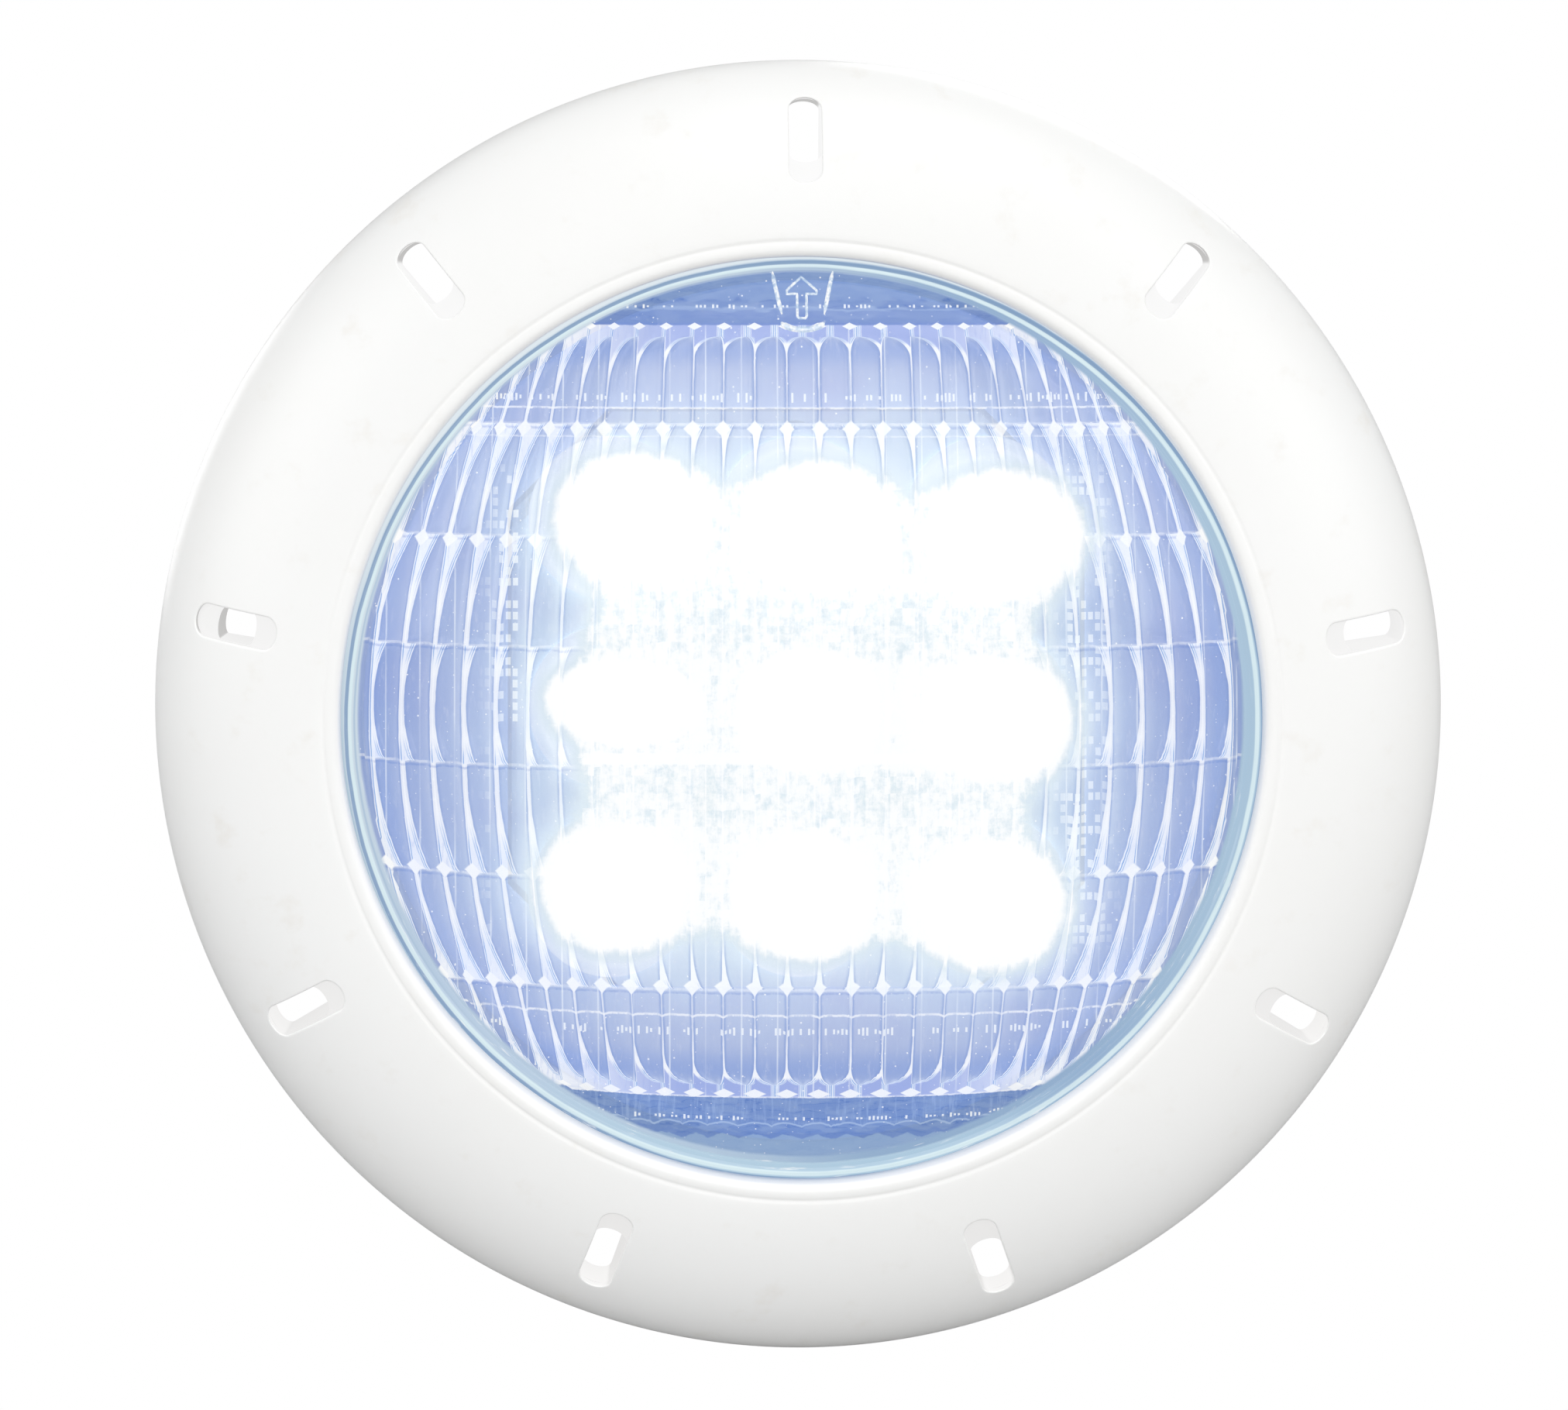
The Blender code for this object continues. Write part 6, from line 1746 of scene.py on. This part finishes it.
seal = bm_object("gland_seal_rubber", revolve_bm(soften([(4.5, -68.3), (6.4, -68.3), (6.4, -75.4), (5.4, -76.1), (4.5, -76.1)], 0.3), 64, GLAND))
on_lamp(seal, "silicone_seal", M_SIL, "gland_seal")
oring = bm_object("gland_o_ring_rubber", revolve_bm(soften([(8.5, -58.85), (11.0, -58.85), (11.4, -59.4), (11.0, -60.0), (8.5, -60.0)], 0.5, 3), 64, GLAND))
on_lamp(oring, "silicone_seal", M_SIL, "gland_o_ring")


def bezier(p0, p1, p2, p3, n):
    return [tuple((1 - t) ** 3 * a + 3 * (1 - t) ** 2 * t * b + 3 * (1 - t) * t * t * c + t ** 3 * d
                  for a, b, c, d in zip(p0, p1, p2, p3)) for t in [i / n for i in range(n + 1)]]


def tube(name, points, radius, seg=28, ribs=None, end_round=0.25):
    """A closed round tube along local-mm points, its ends softened; ribs adds a faint lay pattern (count, height)."""
    pts = [Vector(p) for p in points]
    n = len(pts)
    tang = [(pts[min(n - 1, i + 1)] - pts[max(0, i - 1)]).normalized() for i in range(n)]
    ref = Vector((1, 0, 0)) if abs(tang[0].x) < 0.9 else Vector((0, 1, 0))
    nrm = (ref - tang[0] * ref.dot(tang[0])).normalized()
    rings, out_v, out_f = [], [], []
    arc = 0.0
    stations = []
    for i in range(n):
        if i:
            arc += (pts[i] - pts[i - 1]).length
            nrm = (nrm - tang[i] * nrm.dot(tang[i])).normalized()
        stations.append((pts[i], tang[i], nrm.copy(), arc, 1.0))
    first, last = stations[0], stations[-1]
    k = radius * end_round
    stations = ([(first[0], first[1], first[2], 0.0, 1 - end_round), (first[0] + first[1] * k * 0.3, first[1], first[2], 0.0, 1 - end_round * 0.3)]
                + [(s[0] if 0 < i < n - 1 else (s[0] + s[1] * k if i == 0 else s[0] - s[1] * k), s[1], s[2], s[3], 1.0) for i, s in enumerate(stations)]
                + [(last[0] - last[1] * k * 0.3, last[1], last[2], last[3], 1 - end_round * 0.3), (last[0], last[1], last[2], last[3], 1 - end_round)])
    for p, tg, nm, s, f in stations:
        bi = tg.cross(nm)
        row = []
        for j in range(seg):
            a = 2 * math.pi * j / seg
            rr = radius * f
            if ribs:
                rr -= ribs[1] * (0.5 + 0.5 * math.cos(ribs[0] * a + s * 0.18))
            row.append(len(out_v))
            out_v.append(tuple(p + (nm * math.cos(a) + bi * math.sin(a)) * rr))
        rings.append(row)
    for a, b in zip(rings, rings[1:]):
        for j in range(seg):
            q = (j + 1) % seg
            out_f.append((a[j], a[q], b[q], b[j]))
    for row, p in ((rings[0], stations[0][0]), (rings[-1], stations[-1][0])):
        c = len(out_v)
        out_v.append(tuple(p))
        for j in range(seg):
            out_f.append((row[j], row[(j + 1) % seg], c))
    o = mesh_object(name, out_v, out_f)
    fix_normals(o)
    o.data.shade_smooth()
    o.data.set_sharp_from_angle(angle=math.radians(50))
    return o


GX, GY = GLAND
TAIL = bezier((GX, GY, -88.0), (GX, GY - 2.0, -116.0), (6.0, GY - 40.0, -122.0), (24.0, GY - 66.0, -100.0), 48)
line = [(GX, GY, z) for z in (-46.0, -52.0, -60.0, -68.0, -74.0, -80.0, -84.0)] + TAIL
on_lamp(tube("supply_cable_sheath", line, 4.0, 36, (3, 0.10)), "cable_jacket", M_CABLE, "supply_cable")
end, prev_p = Vector(TAIL[-1]), Vector(TAIL[-4])
way = (Vector(TAIL[-1]) - Vector(TAIL[-2])).normalized()
sidev = way.cross(Vector((0, 0, 1))).normalized()
for nm, sgn, mt in (("core_brown", 1, M_BROWN), ("core_blue", -1, M_BLUE)):
    root = end + way * 0.3 + sidev * sgn * 1.75
    tip = end + way * 17.0 + sidev * sgn * 4.2
    on_lamp(tube(nm + "_wire", bezier(root, root + way * 6.0, tip - way * 6.0, tip, 20), 1.2, 20), nm, mt, nm)


def lead_path(sd):
    xx = sd * 2.0
    return (bezier((sd * 2.0, 34.0, -30.0), (xx, 50.0, -30.0), (xx, 55.5, -26.0), (xx, 55.5, -12.0), 16)
            + bezier((xx, 55.5, -4.0), (xx, 55.5, 2.0), (sd * 3.0, 52.5, 3.6), (sd * 4.5, 47.5, 2.3), 12))


on_lamp(tube("led_lead_red_wire", lead_path(1), 0.85, 16), "lead_red", M_RED, "led_lead_red")
on_lamp(tube("led_lead_black_wire", lead_path(-1), 0.85, 16), "lead_black", M_BLK, "led_lead_black")

# carried-over CAD nodes: softened edges where they show, and a finish each
for node, mat in ([("heat_sink", M_ALU), ("thermal_pad", M_PAD), ("led_board", M_LED_BOARD), ("optic_frame", M_FRAME), ("driver_board", M_PCB),
                   ("driver_coil", M_COIL), ("capacitor_1", M_CAP), ("capacitor_2", M_CAP), ("terminal_block", M_GREEN)]
                  + [(f"led_{i}", M_LED) for i in range(1, 10)]):
    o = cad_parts[node]
    o.data.materials.clear()
    o.data.materials.append(mat)
    if node in ("heat_sink", "optic_frame", "terminal_block", "driver_board"):
        b = o.modifiers.new("soft_edge", "BEVEL")
        b.width, b.segments, b.limit_method, b.angle_limit = 0.15 * MM, 2, "ANGLE", math.radians(50)


# ---------------------------------------------------------------------------
# 9  Stage: pale floor and backdrop in one sweep, soft light from above, camera
# ---------------------------------------------------------------------------
lo_box, hi_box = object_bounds()
FLOOR = lo_box.z - 0.0008
sweep = []
for s in range(0, 25):
    a = math.radians(90 * s / 24)
    sweep.append((1.15 + 0.9 * math.sin(a), FLOOR + 0.9 * (1 - math.cos(a))))
sweep = [(-3.2, FLOOR)] + sweep + [(2.05, 4.2)]
sv, sf = [], []
for y, z in sweep:
    sv += [(-4.0, y, z), (4.0, y, z)]
for i in range(len(sweep) - 1):
    a = 2 * i
    sf.append((a, a + 1, a + 3, a + 2))
me = bpy.data.meshes.new("studio_sweep")
me.from_pydata(sv, [], sf)
me.update()
me.shade_smooth()
floor = link(bpy.data.objects.new("studio_sweep", me))
t = Tree("studio_paper")
lp = t.node("ShaderNodeLightPath")
diff = t.node("ShaderNodeBsdfDiffuse")
diff.inputs["Color"].default_value = (0.40, 0.40, 0.40, 1)
glow = t.node("ShaderNodeEmission")
glow.inputs["Color"].default_value = (1, 1, 1, 1)
glow.inputs["Strength"].default_value = 1.0
mixs = t.node("ShaderNodeMixShader")
t.put(mixs.inputs[0], t.math("MULTIPLY", lp.outputs["Is Camera Ray"], 1.0))
t.put(mixs.inputs[1], diff.outputs[0])
t.put(mixs.inputs[2], glow.outputs[0])
floor.data.materials.append(t.done(mixs.outputs[0]))

world = bpy.data.worlds.new("studio")
scene.world = world
world.use_nodes = True
wn, wl = world.node_tree.nodes, world.node_tree.links
wn.clear()
wo = wn.new("ShaderNodeOutputWorld")
bg = wn.new("ShaderNodeBackground")
bg.inputs[0].default_value = (0.97, 0.985, 1.0, 1)
bg.inputs[1].default_value = 0.58
seen = wn.new("ShaderNodeBackground")
seen.inputs[0].default_value = (1, 1, 1, 1)
seen.inputs[1].default_value = 1.0
path = wn.new("ShaderNodeLightPath")
pick = wn.new("ShaderNodeMixShader")
wl.new(path.outputs["Is Camera Ray"], pick.inputs[0])
wl.new(bg.outputs[0], pick.inputs[1])
wl.new(seen.outputs[0], pick.inputs[2])
wl.new(pick.outputs[0], wo.inputs[0])


def area(name, loc, aim, size, power, color=(1, 1, 1), size_y=None):
    d = bpy.data.lights.new(name, "AREA")
    d.shape = "RECTANGLE"
    d.size, d.size_y = size, size_y or size
    d.energy = power
    d.color = color
    o = link(bpy.data.objects.new(name, d))
    o.location = loc
    o.rotation_euler = (Vector(aim) - Vector(loc)).to_track_quat("-Z", "Y").to_euler()
    return o


area("key_overhead", (0.22, -0.95, 1.05), (0, -0.06, 0), 1.3, 5.4, size_y=0.9)
area("fill_left", (-1.1, -1.0, 0.35), (0, -0.06, 0), 0.9, 4.3)
area("fill_right", (1.1, -1.0, 0.35), (0, -0.06, 0), 0.9, 3.8)
area("fill_front", (0.05, -1.7, 0.35), (0, -0.06, 0), 1.1, 6.6)
area("fill_back", (0.45, 0.75, 0.75), (0, -0.02, 0), 0.6, 5.0)
area("fill_back_left", (-0.8, 0.6, 0.2), (0, -0.02, 0), 0.5, 2.0)

# camera: image plane parallel to the wall, aimed by lens shift, as in the photograph
CAM_AT = (-0.02237, WALL_Y - 0.4236, 0.0866)
cam_data = bpy.data.cameras.new("photo_camera")
cam = link(bpy.data.objects.new("photo_camera", cam_data))
cam_data.sensor_fit = "HORIZONTAL"
cam_data.sensor_width = 36.0
PX = 2024.0
cam_data.lens = 2500.0 / PX * 36.0
cam.location = CAM_AT
cam.rotation_euler = (math.radians(90), 0, 0)
cam_data.clip_start, cam_data.clip_end = 0.01, 20
SHIFT = (0.0578, -0.2592)
for axis, value in (("shift_x", SHIFT[0]), ("shift_y", SHIFT[1])):
    setattr(cam_data, axis, value)
    d = cam_data.driver_add(axis).driver
    d.type = "SCRIPTED"
    for n, a in (("px", "LOC_X"), ("py", "LOC_Y"), ("pz", "LOC_Z")):
        v = d.variables.new()
        v.name = n
        v.type = "TRANSFORMS"
        v.targets[0].id = cam
        v.targets[0].transform_type = a
        v.targets[0].transform_space = "WORLD_SPACE"
    d.expression = "%.6f if abs(px - (%.5f)) + abs(py - (%.5f)) + abs(pz - (%.5f)) < 0.002 else 0.0" % (value, *CAM_AT)
scene.camera = cam

scene.view_settings.view_transform = "Standard"
scene.view_settings.look = "None"
scene.view_settings.exposure = 0.0
